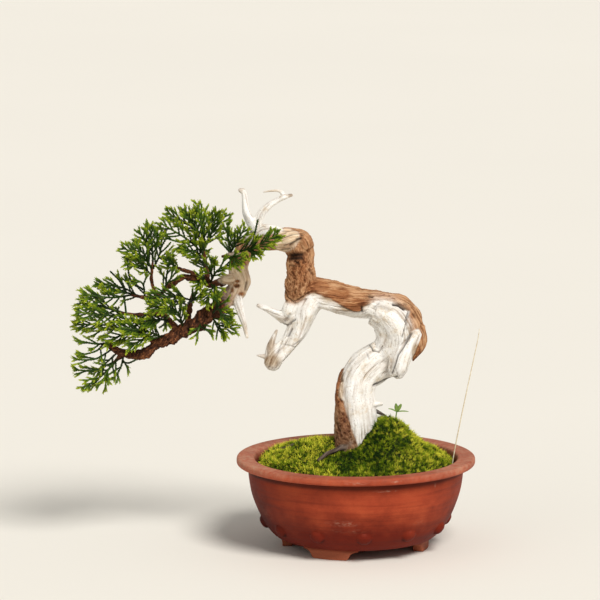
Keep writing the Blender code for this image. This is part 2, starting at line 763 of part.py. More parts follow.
# Each bunch is one spray: its first arm leaves a bark twig and the others grow from the first.
BUNCHES = {
    "top_left": (
        Arm(((202, 243, 2.5), (195, 226, -3), (182, 202, -6)), 6),
        Arm(((197, 231, -1), (184, 222, 1), (168, 214, 0)), 5),
    ),
    "top_middle": (
        Arm(((203, 248.5, 2), (204, 234, -7), (198, 199, -8)), 6),
    ),
    "top_right": (
        Arm(((203, 250, 2), (211, 235, 2), (218, 207, 0)), 7),
        Arm(((207, 238, 2), (216, 228, 5), (226, 214, 8)), 3),
    ),
    "top_back": (
        Arm(((203, 250, 2), (199, 237, 11), (194, 205, 19)), 6),
    ),
    "top_low": (
        Arm(((204, 255, 2), (189, 241, -5), (162, 225, -14)), 6),
        Arm(((191, 243, -4), (180, 243, -8), (166, 239, -9)), 1),
    ),
    "arm_tip": (
        Arm(((235, 253, -1), (254, 248, -10), (279, 236, -14)), 6),
        Arm(((254, 248, -10), (254, 240, -11), (258, 222, -12)), 0),
        Arm(((248, 250, -8), (254, 254, -13), (259, 256, -16)), 2),
    ),
    "arm_up": (
        Arm(((230, 254, -2), (237, 243, -8), (245, 229, -11)), 4),
        Arm(((233, 248, -5), (228, 238, -9), (228, 225, -11)), 2),
    ),
    "arm_back": (
        Arm(((230, 254.5, -2), (229, 246, 9), (233, 233, 16)), 5),
    ),
    "arm_under": (
        Arm(((224, 257, -3), (232, 259, -10), (243, 263, -15)), 5),
    ),
    "middle_left": (
        Arm(((205, 260, 1), (197, 253, -5), (183, 250, -9)), 6),
        Arm(((199, 255, -3), (204, 249, -8), (208, 243, -10)), 2),
    ),
    "middle_tip": (
        Arm(((178, 268, -4.5), (172, 264, -7), (167, 258, -8)), 4),
    ),
    "middle_right": (
        Arm(((210, 283, -1), (221, 274, -8), (238, 268, -8)), 6),
        Arm(((214, 280, -4), (211, 271, -9), (213, 260, -13)), 3),
    ),
    "middle_front": (
        Arm(((207, 283, -1), (203, 281, -11), (197, 287, -18)), 6),
    ),
    "middle_down": (
        Arm(((214, 282.5, -1), (220, 288, -6), (229, 293, -8)), 2),
        Arm(((215, 285, -3), (210, 293, -6), (206, 304, -7)), 3),
    ),
    "middle_back": (
        Arm(((205, 270, 1), (202, 262, 12), (197, 258, 20)), 5),
    ),
    "right_up": (
        Arm(((213, 313, -5), (219, 305, -9), (215, 295, -11)), 4),
        Arm(((217, 308, -8), (224, 312, -11), (233, 317, -13)), 4),
    ),
    "right_low": (
        Arm(((210, 314, -1), (219, 325, -7), (236, 329, -10)), 4),
        Arm(((215, 322, -5), (219, 330, -8), (224, 337, -10)), 2),
    ),
    "right_drop": (
        Arm(((201, 321, -2), (199, 331, -7), (196, 341, -8)), 4),
        Arm(((200, 326, -5), (208, 331, -8), (216, 335, -9)), 2),
    ),
    "right_back": (
        Arm(((208, 315, -1), (218, 312, 9), (228, 308, 16)), 5),
    ),
    "shelf_upper": (
        Arm(((191, 300, 2), (177, 297, -6), (150, 297, -9)), 6),
    ),
    "shelf_lower": (
        Arm(((184, 329, -3), (176, 311, -13), (151, 307, -17)), 8),
    ),
    "shelf_back": (
        Arm(((190, 306, 2), (178, 301, 12), (162, 299, 19)), 5),
    ),
    "inner_front": (
        Arm(((170, 321, -3), (160, 320, -12), (144, 324, -17)), 6),
    ),
    "low_long": (
        Arm(((166, 339, -4.5), (148, 332, -13), (121, 328, -17)), 8),
        Arm(((152, 334, -11), (141, 341, -15), (130, 347, -17)), 3),
    ),
    "low_bright": (
        Arm(((141, 334, -5), (124, 335, -9), (107, 342, -12)), 5),
    ),
    "inner_left": (
        Arm(((147, 314.6, -3), (136, 321, -10), (119, 321, -13)), 5),
    ),
    "inner_back": (
        Arm(((170, 320, -3), (158, 319, 8), (142, 322, 15)), 5),
    ),
    "left_top": (
        Arm(((138, 296, 0), (123, 286, -1), (94, 279, -6)), 6),
        Arm(((124, 287, -1), (119, 280, 1), (111, 272, 1)), 0),
    ),
    "left_top_back": (
        Arm(((143, 297, 0), (126, 292, 9), (103, 283, 15)), 6),
    ),
    "left_upper": (
        Arm(((131, 295, 0), (112, 298, -9), (84, 295, -13)), 6),
        Arm(((124, 297, -4), (125.5, 305, -7), (126.5, 314, -8)), 0),
    ),
    "left_middle": (
        Arm(((121, 313, -2), (102, 306, -2), (80, 303, -2)), 7),
    ),
    "left_front": (
        Arm(((129, 314, -2), (109, 316, -13), (78, 313, -16)), 8),
    ),
    "left_middle_back": (
        Arm(((128, 314, -2), (112, 309, 9), (90, 305, 15)), 6),
    ),
    "left_lower": (
        Arm(((126, 329.5, -5), (104, 325, -7), (75, 325, -9)), 8),
    ),
    "left_lower_back": (
        Arm(((130, 330, -5), (113, 329, 7), (86, 331, 11)), 6),
    ),
    "high_left": (
        Arm(((153, 269, 0), (142, 256, -5), (120, 248, -8)), 6),
    ),
    "high_top": (
        Arm(((153, 262, 0), (152, 244, 1), (150, 221, 2)), 6),
        Arm(((152, 250, 0), (145, 240, -2), (139, 231, -3)), 3),
    ),
    "high_right": (
        Arm(((153, 269, 0), (160, 253, 5), (163, 223, 7)), 5),
        Arm(((158, 257, 4), (165, 260, 5), (172, 259, 5)), 2),
    ),
    "high_back": (
        Arm(((152, 270, 0), (144, 254, 11), (132, 243, 17)), 6),
    ),
    "high_low": (
        Arm(((152, 275, 0), (141, 267, -6), (128, 265, -9)), 4),
        Arm(((147, 270, -3), (138, 261, -2), (127, 257, -1)), 3),
    ),
    "high_thin": (
        Arm(((161, 293, 0), (168, 283, -6), (177, 272, -9)), 2),
        Arm(((166, 286, -4), (167, 274, -1), (170, 262, 1)), 2),
    ),
    "high_side": (
        Arm(((145, 297, 0), (143, 284, -5), (134, 280, -8)), 2),
        Arm(((144, 290, -3), (131, 280, -5), (127.5, 258, -6)), 0),
    ),
    "drop_upper": (
        Arm(((108, 343, -6.5), (96, 344, -9), (79, 341, -11)), 5),
        Arm(((104, 343, -7), (97, 351, -12), (80, 356, -15)), 4),
    ),
    "drop_side": (
        Arm(((114, 348, -6.5), (96, 359, -12), (75, 360, -14)), 5),
    ),
    "drop_long": (
        Arm(((114, 362, -7), (95, 371, -7), (72, 371, -7)), 5),
        Arm(((104, 367, -7), (99, 379, -11), (80, 391, -12)), 4),
    ),
    "drop_low": (
        Arm(((119, 358, -7), (107, 372, -1), (86, 393, -1)), 4),
        Arm(((107, 371, -2), (106, 381, -7), (96, 393, -8)), 3),
    ),
    "drop_front": (
        Arm(((119, 358, -7), (109, 372, -14), (102, 388, -17)), 6),
    ),
    "drop_right": (
        Arm(((124, 354, -6.5), (121, 368, -9), (113, 384, -11)), 5),
        Arm(((122, 362, -8), (129, 363, -10), (136, 360, -11)), 1),
    ),
    "drop_back": (
        Arm(((119, 351, -6.5), (106, 362, 4), (92, 374, 10)), 6),
    ),
}


class Thicket:
    """Straight stretches of wood and leaf already placed, which keep new ones off each other."""

    def __init__(self):
        self.starts = np.empty((0, 3))
        self.ends = np.empty((0, 3))
        self.radii = np.empty(0)
        self.owners = np.empty(0, int)

    def add(self, owner, start, end, radius):
        self.starts = np.vstack([self.starts, start])
        self.ends = np.vstack([self.ends, end])
        self.radii = np.append(self.radii, radius)
        self.owners = np.append(self.owners, owner)

    def copy(self):
        """A thicket of the same stretches, to which a trial may add its own."""
        twin = Thicket()
        twin.starts, twin.ends, twin.radii, twin.owners = self.starts, self.ends, self.radii, self.owners
        return twin

    def only(self, owner):
        """The stretches of one owner by themselves."""
        kept = Thicket()
        own = self.owners == owner
        kept.starts, kept.ends = self.starts[own], self.ends[own]
        kept.radii, kept.owners = self.radii[own], self.owners[own]
        return kept

    def clearance(self, owner, start, end, radius):
        """The least gap between a stretch and those of every other owner."""
        others = self.owners != owner
        if not others.any():
            return math.inf
        first, last, thick = self.starts[others], self.ends[others], self.radii[others]
        own, other = end - start, last - first
        between = start - first
        a = own @ own
        e = np.einsum("ij,ij->i", other, other)
        b = other @ own
        c = between @ own
        f = np.einsum("ij,ij->i", other, between)
        below = np.maximum(a * e - b * b, 1e-9)
        s = np.clip((b * f - c * e) / below, 0, 1)
        t = np.clip((b * s + f) / np.maximum(e, 1e-9), 0, 1)
        s = np.clip((b * t - c) / max(a, 1e-9), 0, 1)
        near = between + s[:, None] * own - t[:, None] * other
        return float((np.linalg.norm(near, axis=1) - thick).min() - radius)


# Owners that are not sprays
WOOD = -1
NOBODY = -2


def wood_thicket():
    """The stretches of every limb, as thick as its ridges."""
    thicket = Thicket()
    for limb in LIMBS.values():
        rows = limb.rows()
        bulge = 1 + limb.section.height
        for start, end in zip(rows, rows[1:]):
            thicket.add(WOOD, start[:3], end[:3], max(start[3], end[3]) * bulge)
    return thicket


class Spray:
    """A leafy bunch grown as one closed skin: each stem and shoot is drawn out of what bears it."""

    def __init__(self, owner, thicket, seed):
        self.owner = owner
        self.thicket = thicket
        self.draw = random.Random(seed)
        self.bm = bmesh.new()
        self.stems = []

    def square(self, centre, ahead, corners, radius):
        """Four new corners about a centre, square to the way ahead and in line with the corners before."""
        middle = sum(corners, Vector()) / 4
        found = []
        for corner in corners:
            out = corner - middle
            out = (out - ahead * out.dot(ahead)).normalized()
            found.append(centre + out * radius)
        return found

    def opened(self, face):
        """The corners of a face that is taken away."""
        ring = [loop.vert for loop in face.loops]
        self.bm.faces.remove(face)
        return ring

    def draw_out(self, ring, centre, ahead, radius):
        """Walls from an open ring of corners to a square about the centre; returns its end and sides."""
        corners = self.square(centre, ahead, [vertex.co for vertex in ring], radius)
        new = [self.bm.verts.new(corner) for corner in corners]
        sides = [
            self.bm.faces.new((ring[k], ring[(k + 1) % 4], new[(k + 1) % 4], new[k])) for k in range(4)
        ]
        return self.bm.faces.new(new), sides

    def close_point(self, face, tip):
        ring = self.opened(face)
        point = self.bm.verts.new(tip)
        for k in range(4):
            self.bm.faces.new((ring[k], ring[(k + 1) % 4], point))

    def cut_end(self, start, ahead):
        """The corners of the first stem's cut end, just off the bark that it leaves."""
        back = [self.bm.verts.new(corner) for corner in end_corners(start, ahead)]
        self.bm.faces.new(list(reversed(back)))
        return back

    def add_stem(self, points):
        """A stem through these points, from the bark or else from the nearest side of an earlier stem."""
        way = (points[1] - points[0]).normalized()
        if self.stems:
            faces = [face for stem in self.stems for sides in stem for face in sides if face.is_valid]
            ring = self.opened(min(faces, key=lambda face: self.misfit(face, points[0], way)))
        else:
            ring = self.cut_end(points[0], way)
        stem = []
        last = len(points) - 1
        for index in range(1, last):
            ahead = (points[index + 1] - points[index - 1]).normalized()
            radius = CORE_RADIUS * (1 - CORE_TAPER * index / last)
            end, sides = self.draw_out(ring, points[index], ahead, radius)
            self.bm.normal_update()
            stem.append(sides)
            if index < last - 1:
                ring = self.opened(end)
        self.close_point(end, points[last])
        self.stems.append(stem)

    def misfit(self, face, start, way):
        """How badly a face suits a stem that starts here and goes this way."""
        return (face.calc_center_median() - start).length - FACE_PULL * face.normal.dot(way)

    def add_shoots(self, stem, points, arm):
        """Shoots drawn out of a stem's side faces, forwards and outwards, each clear of all others."""
        places = [(index, side) for index in range(len(stem)) for side in range(4)]
        self.draw.shuffle(places)
        places.sort(key=lambda place: (place[0] < len(stem) - 2, (place[0] + place[1]) % 2))
        made = 0
        for index, side in places:
            face = stem[index][side]
            if made == arm.shoots:
                break
            if not face.is_valid:
                continue
            ahead = (points[index + 1] - points[index]).normalized()
            root = face.calc_center_median()
            share = (index + 0.5) / len(stem)
            for _ in range(SHOOT_TRIES):
                lean = math.radians(self.draw.uniform(*SHOOT_LEAN) * (1.08 - 0.3 * share))
                out = (face.normal + ahead.cross(face.normal) * self.draw.uniform(-0.6, 0.6)).normalized()
                length = SHOOT_LENGTH * self.draw.uniform(*SHOOT_SPREAD) * (1.1 - 0.4 * share)
                way = ahead * math.cos(lean) + out * math.sin(lean)
                if self.is_clear(root, root + way * length, SHOOT_RADIUS):
                    self.draw_shoot(face, root, way, length)
                    made += 1
                    break

    def draw_shoot(self, face, root, way, length):
        """A shoot that narrows to its tip, with a side tip drawn out of each flank that has room."""
        waist, neck = root + way * length * WAIST_SHARE, root + way * length * NECK_SHARE
        end, _ = self.draw_out(self.opened(face), waist, way, SHOOT_RADIUS)
        end, flanks = self.draw_out(self.opened(end), neck, way, SHOOT_RADIUS * 0.95)
        self.close_point(end, root + way * length)
        self.keep(root + way * length * 0.3, root + way * length, SHOOT_RADIUS)
        self.bm.normal_update()
        first = self.draw.randrange(2)
        for flank in (flanks[first], flanks[first + 2]):
            middle = flank.calc_center_median()
            lean = math.radians(self.draw.uniform(*FORK_LEAN))
            aside = (flank.normal - way * flank.normal.dot(way)).normalized()
            fork = length * self.draw.uniform(*FORK_SPREAD)
            tip = middle + (way * math.cos(lean) + aside * math.sin(lean)) * fork
            if self.is_clear(middle, tip, FORK_RADIUS):
                self.close_point(flank, tip)
                self.keep(middle.lerp(tip, 0.4), tip, FORK_RADIUS)
        self.bm.normal_update()

    def is_clear(self, start, end, radius):
        """Whether a new stretch keeps its distance from other nodes and does not cross its own spray."""
        if self.thicket.clearance(self.owner, np.array(start), np.array(end), radius) < SHOOT_CLEAR:
            return False
        own = self.thicket.only(self.owner)
        outer = np.array(start.lerp(end, 0.35))
        return own.clearance(NOBODY, outer, np.array(end), radius * 0.7) > OWN_CLEAR

    def crosses_itself(self):
        """Whether any triangle passes through another that shares no corner with it."""
        bmesh.ops.triangulate(self.bm, faces=self.bm.faces)
        self.bm.faces.index_update()
        self.bm.faces.ensure_lookup_table()
        tree = BVHTree.FromBMesh(self.bm)
        for first, second in tree.overlap(tree):
            corners = set(self.bm.faces[first].verts)
            if first < second and not corners & set(self.bm.faces[second].verts):
                return True
        return False

    def keep(self, start, end, radius):
        self.thicket.add(self.owner, np.array(start), np.array(end), radius)


def end_corners(start, ahead):
    """The four corners of a stem's cut end."""
    across = ahead.cross(Vector((0, 1, 0))).normalized()
    up = ahead.cross(across)
    turns = [math.pi / 4 + quarter * math.pi / 2 for quarter in range(4)]
    return [start + (across * math.cos(turn) + up * math.sin(turn)) * CORE_RADIUS for turn in turns]


def bark_tree(trunk):
    """The trunk's surface in millimetres, for measuring how far a point is from it."""
    bm = bmesh.new()
    bm.from_mesh(trunk.data)
    bmesh.ops.scale(bm, verts=bm.verts, vec=(1 / MM, 1 / MM, 1 / MM))
    tree = BVHTree.FromBMesh(bm)
    bm.free()
    return tree


def bark_gap(bark, points):
    """The least distance from the points to the bark, or a negative one where a point is inside it."""
    gaps = []
    for point in points:
        near, normal, _, distance = bark.find_nearest(point)
        gaps.append(distance if (point - near).dot(normal) > 0 else -distance)
    return min(gaps)


def arm_rows(arm, first, bark):
    """An arm's stations, about STEM_STEP apart; the first arm starts just off the bark that it leaves."""
    points = [(*place(*row), CORE_RADIUS) for row in arm.route]
    rows = [Vector(row[:3]) for row in smooth_route(points, FINE_STEP)]
    look = round(STEM_STEP / FINE_STEP)
    if first:
        while bark_gap(bark, end_corners(rows[0], (rows[look] - rows[0]).normalized())) < GAP:
            rows.pop(0)
    count = max(3, round(len(rows) / look))
    return [rows[round(index * (len(rows) - 1) / count)] for index in range(count + 1)]


def place_stems(thicket, bark):
    """Each bunch's arms as rows of points, put in the thicket first so that no shoot is in their way."""
    stations = {}
    for owner, (name, bunch) in enumerate(BUNCHES.items()):
        stations[name] = [arm_rows(arm, index == 0, bark) for index, arm in enumerate(bunch)]
        for rows in stations[name]:
            for start, end in zip(rows, rows[1:]):
                thicket.add(owner, np.array(start), np.array(end), CORE_RADIUS)
    return stations


def grown_spray(owner, bunch, stations, thicket):
    """One bunch grown with a fresh draw until no part of it passes through another."""
    for attempt in range(SPRAY_TRIES):
        spray = Spray(owner, thicket.copy(), owner + attempt * len(BUNCHES))
        for points in stations:
            spray.add_stem(points)
        for arm, stem, points in zip(bunch, spray.stems, stations):
            spray.add_shoots(stem, points, arm)
        if not spray.crosses_itself():
            return spray
    raise ValueError(f"bunch {owner} crosses itself in every draw")


def make_sprays(collection, material, trunk):
    """Every bunch as one solid, kept clear of the wood and of the bunches before it."""
    thicket = wood_thicket()
    stations = place_stems(thicket, bark_tree(trunk))
    for owner, (name, bunch) in enumerate(BUNCHES.items()):
        spray = grown_spray(owner, bunch, stations[name], thicket)
        thicket = spray.thicket
        dress(object_from("spray_" + name, spray.bm, collection), material, sharp=50)


def make_seedling(collection, material):
    """A weed seedling on the mound: a thread of stem, two long seed leaves and a forked pair above."""
    foot = place(396.5, 419, 0)
    foot.z = moss_top(foot.x - POT_X, 0) + GAP
    crown = place(397, 411.5, 0)
    stem = limb_mesh(smooth_route([(*foot, 0.4), (*crown, 0.4)], 1.5), Section(sides=5))
    pieces = [object_from("stem", stem, collection)]
    leaves = {
        "left": ((388, 408.3, -1), 0.5),
        "right": ((409, 411.2, 1), 0.5),
        "upper_left": ((396, 403.6, 0), 1.0),
        "upper_right": ((402, 404.2, 0.5), 1.0),
    }
    for name, (tip, wide) in leaves.items():
        end = place(*tip)
        middle = crown.lerp(end, 0.6)
        route = smooth_route([(*crown, 0.35), (*middle, wide), (*end, 0.3)], 2.0)
        leaf = limb_mesh(route, Section(sides=4))
        pieces.append(object_from("leaf_" + name, leaf, collection))
    seedling = joined("seedling", pieces, collection, solver="MANIFOLD")
    dress(seedling, material)


def make_stalk(collection, material):
    """One dry grass stalk that stands in the soil beside the rim."""
    route = (
        (452.6, 466.4, 2, 0.7),
        (456.8, 442.4, 2, 0.6),
        (463.5, 408.8, 2, 0.6),
        (470.6, 375, 2, 0.6),
        (478.3, 338.4, 2, 0.6),
        (479.6, 328.7, 2, 0.5),
    )
    stalk = object_from("dry_stalk", Limb(route, Section(sides=5), spacing=9.0).mesh(), collection)
    dress(stalk, material)


def main():
    clear_scene()
    tree = new_collection("itoigawa_juniper_bonsai")
    cutters = new_collection("cutters")
    clay = finish("unglazed_clay", (0.39, 0.08, 0.035), 0.62)
    plastic = finish("net_plastic", (0.02, 0.02, 0.02), 0.5)
    soil = finish("granular_soil", (0.10, 0.06, 0.035), 0.95)
    moss = finish("moss", (0.13, 0.17, 0.02), 0.95)
    wood = finish("juniper_wood", (0.55, 0.40, 0.26), 0.75)
    leaf = finish("juniper_leaf", (0.10, 0.19, 0.02), 0.55)
    seed_leaf = finish("seedling_leaf", (0.21, 0.30, 0.05), 0.5)
    straw = finish("straw", (0.80, 0.72, 0.50), 0.7)
    make_pot(tree, clay)
    make_drain_screen(tree, plastic)
    trunk, hole = make_trunk(tree, cutters, wood)
    make_soil(tree, soil, hole)
    make_moss(tree, moss, hole)
    make_sprays(tree, leaf, trunk)
    make_seedling(tree, seed_leaf)
    make_stalk(tree, straw)


main()
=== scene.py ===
"""Dresses an itoigawa juniper bonsai and its round clay pot: wood, foliage, moss, soil, clay and studio.

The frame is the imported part's: metres, +Z up, +X to the right as the tree is shown and +Y away from the
viewer. Sizes here are in millimetres. Routes and outlines are in the front view's grid, as (across, down,
depth): half a millimetre a step across and down, and millimetres behind the pot's axis.
"""

import json
import logging
import math
import random
from collections.abc import Callable, Sequence
from dataclasses import dataclass, field
from enum import Enum

import bmesh
import bpy
import numpy as np
from mathutils import Matrix, Vector, noise
from numpy.linalg import norm

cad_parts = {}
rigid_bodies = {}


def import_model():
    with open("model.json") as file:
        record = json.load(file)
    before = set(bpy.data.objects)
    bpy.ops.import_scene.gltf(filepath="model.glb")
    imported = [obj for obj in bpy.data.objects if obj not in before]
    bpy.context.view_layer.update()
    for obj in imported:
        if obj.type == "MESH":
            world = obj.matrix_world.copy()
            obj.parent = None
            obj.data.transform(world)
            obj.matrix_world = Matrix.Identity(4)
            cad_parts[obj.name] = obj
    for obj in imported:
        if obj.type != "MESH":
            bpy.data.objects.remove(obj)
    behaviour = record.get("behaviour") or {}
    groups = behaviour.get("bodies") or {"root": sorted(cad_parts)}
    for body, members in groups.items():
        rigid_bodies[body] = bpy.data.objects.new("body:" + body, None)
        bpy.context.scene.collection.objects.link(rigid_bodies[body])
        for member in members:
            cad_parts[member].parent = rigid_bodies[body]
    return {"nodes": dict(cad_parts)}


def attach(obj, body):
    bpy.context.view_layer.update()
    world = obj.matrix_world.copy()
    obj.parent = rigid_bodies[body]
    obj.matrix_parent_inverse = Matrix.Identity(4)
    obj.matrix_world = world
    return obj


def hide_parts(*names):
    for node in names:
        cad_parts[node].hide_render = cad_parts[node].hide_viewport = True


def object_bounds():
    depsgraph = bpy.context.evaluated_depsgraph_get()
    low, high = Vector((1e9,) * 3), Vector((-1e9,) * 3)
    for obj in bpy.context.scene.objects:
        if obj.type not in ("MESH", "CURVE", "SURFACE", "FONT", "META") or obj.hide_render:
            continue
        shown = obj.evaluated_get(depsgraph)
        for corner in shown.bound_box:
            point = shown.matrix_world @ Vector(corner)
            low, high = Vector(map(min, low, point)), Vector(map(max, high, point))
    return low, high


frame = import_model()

CAD_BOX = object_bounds()
LOG = logging.getLogger("bonsai")
MM = 0.001

# The front view
GRID_STEP = 0.5
POT_ACROSS = 356.0
TABLE_DOWN = 545.7
VIEW_DROP = math.sin(math.radians(11.5))
VIEW_RISE = math.cos(math.radians(11.5))
POT_X = 40.0

Colour = tuple[float, float, float]
Point = tuple[float, ...]
Array = np.ndarray
Material = bpy.types.Material
Object = bpy.types.Object
Socket = bpy.types.NodeSocket

WHITE = (1.0, 1.0, 1.0)


def place(across: float, down: float, depth: float) -> Array:
    """The point, in millimetres, that the front view shows at this grid place and this depth."""
    x, rise = (across - POT_ACROSS) * GRID_STEP + POT_X, (TABLE_DOWN - down) * GRID_STEP
    return np.array((x, depth, (rise - depth * VIEW_DROP) / VIEW_RISE))


def front_view(points: Array) -> Array:
    """The steps across and down at which the front view shows each row of points."""
    rise = points[:, 2] * VIEW_RISE + points[:, 1] * VIEW_DROP
    return np.column_stack([(points[:, 0] - POT_X) / GRID_STEP + POT_ACROSS, TABLE_DOWN - rise / GRID_STEP])


def eased(values: Array, low: float, high: float) -> Array:
    """A smooth step from 0 at low to 1 at high; high may be the lower of the two."""
    t = np.clip((values - low) / (high - low), 0.0, 1.0)
    return t * t * (3 - 2 * t)


def unit(way: Array) -> Array:
    """A way of length 1."""
    return way / norm(way)


def perlin(points: Array) -> Array:
    """Smooth noise between about -1 and 1 at each row of points."""
    return np.array([noise.noise(row) for row in points.tolist()])


def level(x: Array, y: Array) -> Array:
    """Rows of points at height 0."""
    return np.column_stack([x, y, np.zeros_like(x)])


def ridged(points: Array) -> Array:
    """Noise that is 0 along narrow crests and falls to about -1 between them."""
    return -np.abs(perlin(points)) * 2.0


def smooth_route(points: Sequence[Point], spacing: float) -> Array:
    """One smooth curve through the points.

    Args:
        points: Rows of x, y, z and any further values, which are smoothed alike.
        spacing: About how far apart the new rows are.

    Returns:
        The rows along the curve.
    """
    rows = [np.array(point, float) for point in points]
    rows = [2 * rows[0] - rows[1], *rows, 2 * rows[-1] - rows[-2]]
    found = []
    for before, start, end, after in zip(rows, rows[1:], rows[2:], rows[3:]):
        steps = max(1, round(float(norm((end - start)[:3])) / spacing))
        t = np.arange(steps)[:, None] / steps
        bend = 2 * before - 5 * start + 4 * end - after
        twist = 3 * start - before - 3 * end + after
        found.append(0.5 * (2 * start + (end - before) * t + bend * t**2 + twist * t**3))
    return np.vstack([*found, rows[-2][None]])


def length_along(points: Array) -> Array:
    """How far along its route each point lies."""
    return np.append(0.0, np.cumsum(norm(np.diff(points, axis=0), axis=1)))


def frames_along(points: Array) -> tuple[Array, Array, Array]:
    """The way ahead and two crosswise ways at each point, turning no more than the route does.

    Args:
        points: The route's points.

    Returns:
        The ways ahead, across and up, one row to a point.
    """
    ahead = np.gradient(points, axis=0)
    ahead /= norm(ahead, axis=1)[:, None]
    guide = np.array((0.0, 1.0, 0.0)) if abs(ahead[0][1]) < 0.8 else np.array((0.0, 0.0, 1.0))
    side = np.cross(ahead[0], guide)
    across = np.empty_like(ahead)
    for index, way in enumerate(ahead):
        side = unit(side - way * side.dot(way))
        across[index] = side
    return ahead, across, np.cross(ahead, across)


def faces_between(sides: int, lows: Sequence[int], highs: Sequence[int]) -> list[tuple[int, ...]]:
    """The faces between each low ring and the high ring beside it, each ring known by its first corner."""
    turns = [(side, (side + 1) % sides) for side in range(sides)]
    return [(low + a, low + b, high + b, high + a) for low, high in zip(lows, highs) for a, b in turns]


class Shell:
    """The vertices, in millimetres, and the faces of one piece while it is made."""

    def __init__(self) -> None:
        """An empty shell."""
        self.points: list[Array] = []
        self.faces: list[tuple[int, ...]] = []
        self.count = 0

    def add(self, points: Array, faces: Sequence[Sequence[int]]) -> None:
        """Adds vertices and the faces that count from the first of them.

        Args:
            points: The new vertices.
            faces: Their faces, facing out.
        """
        self.faces.extend(tuple(self.count + corner for corner in face) for face in faces)
        self.points.append(points)
        self.count += len(points)

    def add_rings(self, rings: Array) -> None:
        """Adds a closed skin over rings of corners, with a pole at each end.

        Args:
            rings: Ring by ring, the corners in a right-handed turn about the way ahead.
        """
        count, sides = rings.shape[:2]
        points = np.vstack([rings.reshape(-1, 3), rings[0].mean(axis=0), rings[-1].mean(axis=0)])
        starts = range(0, count * sides, sides)
        faces = faces_between(sides, starts[:-1], starts[1:])
        first, last, high = count * sides, count * sides + 1, starts[-1]
        for side in range(sides):
            after = (side + 1) % sides
            faces.append((first, after, side))
            faces.append((last, high + side, high + after))
        self.add(points, faces)

    def add_bmesh(self, bm: bmesh.types.BMesh) -> None:
        """Adds a bmesh, with its faces turned outwards, and frees it.

        Args:
            bm: The bmesh, in millimetres.
        """
        bmesh.ops.recalc_face_normals(bm, faces=bm.faces)
        bm.verts.index_update()
        points = np.array([vertex.co for vertex in bm.verts])
        self.add(points, [[vertex.index for vertex in face.verts] for face in bm.faces])
        bm.free()

    def built(self, name: str, smooth: bool = True) -> Object:
        """The shell as an object at the scene's origin, in metres."""
        return object_of(name, np.vstack(self.points), self.faces, smooth)


def linked(name: str, data: bpy.types.ID) -> Object:
    """A new object that holds this data, linked at the scene's origin.

    Args:
        name: The object's name.
        data: Its mesh, lamp or camera.

    Returns:
        The object.
    """
    obj = bpy.data.objects.new(name, data)
    bpy.context.scene.collection.objects.link(obj)
    return obj


def object_of(
    name: str, points: Array, faces: Sequence[Sequence[int]], smooth: bool = True, edges: Sequence = ()
) -> Object:
    """A new mesh object.

    Args:
        name: The object's name.
        points: Its vertices in millimetres.
        faces: Its faces.
        smooth: Whether they are shaded smooth.
        edges: Its edges, where it has no faces.

    Returns:
        The object, in metres.
    """
    mesh = bpy.data.meshes.new(name)
    mesh.from_pydata((points * MM).tolist(), edges, faces)
    if smooth:
        mesh.shade_smooth()
    return linked(name, mesh)


def plain_mesh(obj: Object) -> None:
    """Makes an object's modifiers part of its mesh.

    Args:
        obj: The object.
    """
    bpy.context.view_layer.update()
    graph = bpy.context.evaluated_depsgraph_get()
    made = bpy.data.meshes.new_from_object(obj.evaluated_get(graph))
    obj.modifiers.clear()
    old, obj.data = obj.data, made
    bpy.data.meshes.remove(old)


def modify(obj: Object, kind: str, **settings: object) -> None:
    """Gives an object a modifier.

    Args:
        obj: The object.
        kind: The modifier's type.
        **settings: Its own properties.
    """
    modifier = obj.modifiers.new(kind.lower(), kind)
    for key, value in settings.items():
        setattr(modifier, key, value)


def remove(obj: Object) -> None:
    """Takes a helper object and its mesh out of the scene."""
    bpy.data.batch_remove([obj, obj.data])


def surface_of(obj: Object) -> tuple[Array, Array]:
    """Where an object's vertices are and which way they face.

    Args:
        obj: The object.

    Returns:
        The places in millimetres and the ways, one to a row.
    """
    found = np.empty((2, len(obj.data.vertices) * 3), np.float32)
    for values, key in zip(found, ("co", "normal")):
        obj.data.vertices.foreach_get(key, values)
    points, ways = found.reshape(2, -1, 3).astype(float)
    return points / MM, ways


def move_vertices(obj: Object, points: Array) -> None:
    """Puts an object's vertices at these points, in millimetres."""
    obj.data.vertices.foreach_set("co", (points * MM).astype(np.float32).ravel())
    obj.data.update()


def mark(obj: Object, name: str, values: Array) -> None:
    """Stores a value, or a vector, at each vertex for the materials to read.

    Args:
        obj: The object.
        name: The attribute's name.
        values: One value, or one row of three, to a vertex.
    """
    kind, key = ("FLOAT_VECTOR", "vector") if values.ndim == 2 else ("FLOAT", "value")
    attribute = obj.data.attributes.new(name, kind, "POINT")
    attribute.data.foreach_set(key, values.astype(np.float32).ravel())


def triangles(obj: Object) -> int:
    """How many triangles an object's mesh has."""
    return sum(len(polygon.vertices) - 2 for polygon in obj.data.polygons)


def settle(obj: Object, finish: Material | None, slot: str, *nodes: str) -> None:
    """Gives a piece its finish, rides it on the tree and reports it.

    Args:
        obj: The piece.
        finish: Its material, where it has none yet.
        slot: The record's material slot; not used.
        *nodes: The part's nodes that it stands for.
    """
    if finish:
        obj.data.materials.append(finish)
    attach(obj, "root")
    if nodes:
        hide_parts(*nodes)
    LOG.info("%s: %d triangles", obj.name, triangles(obj))


# Finishes


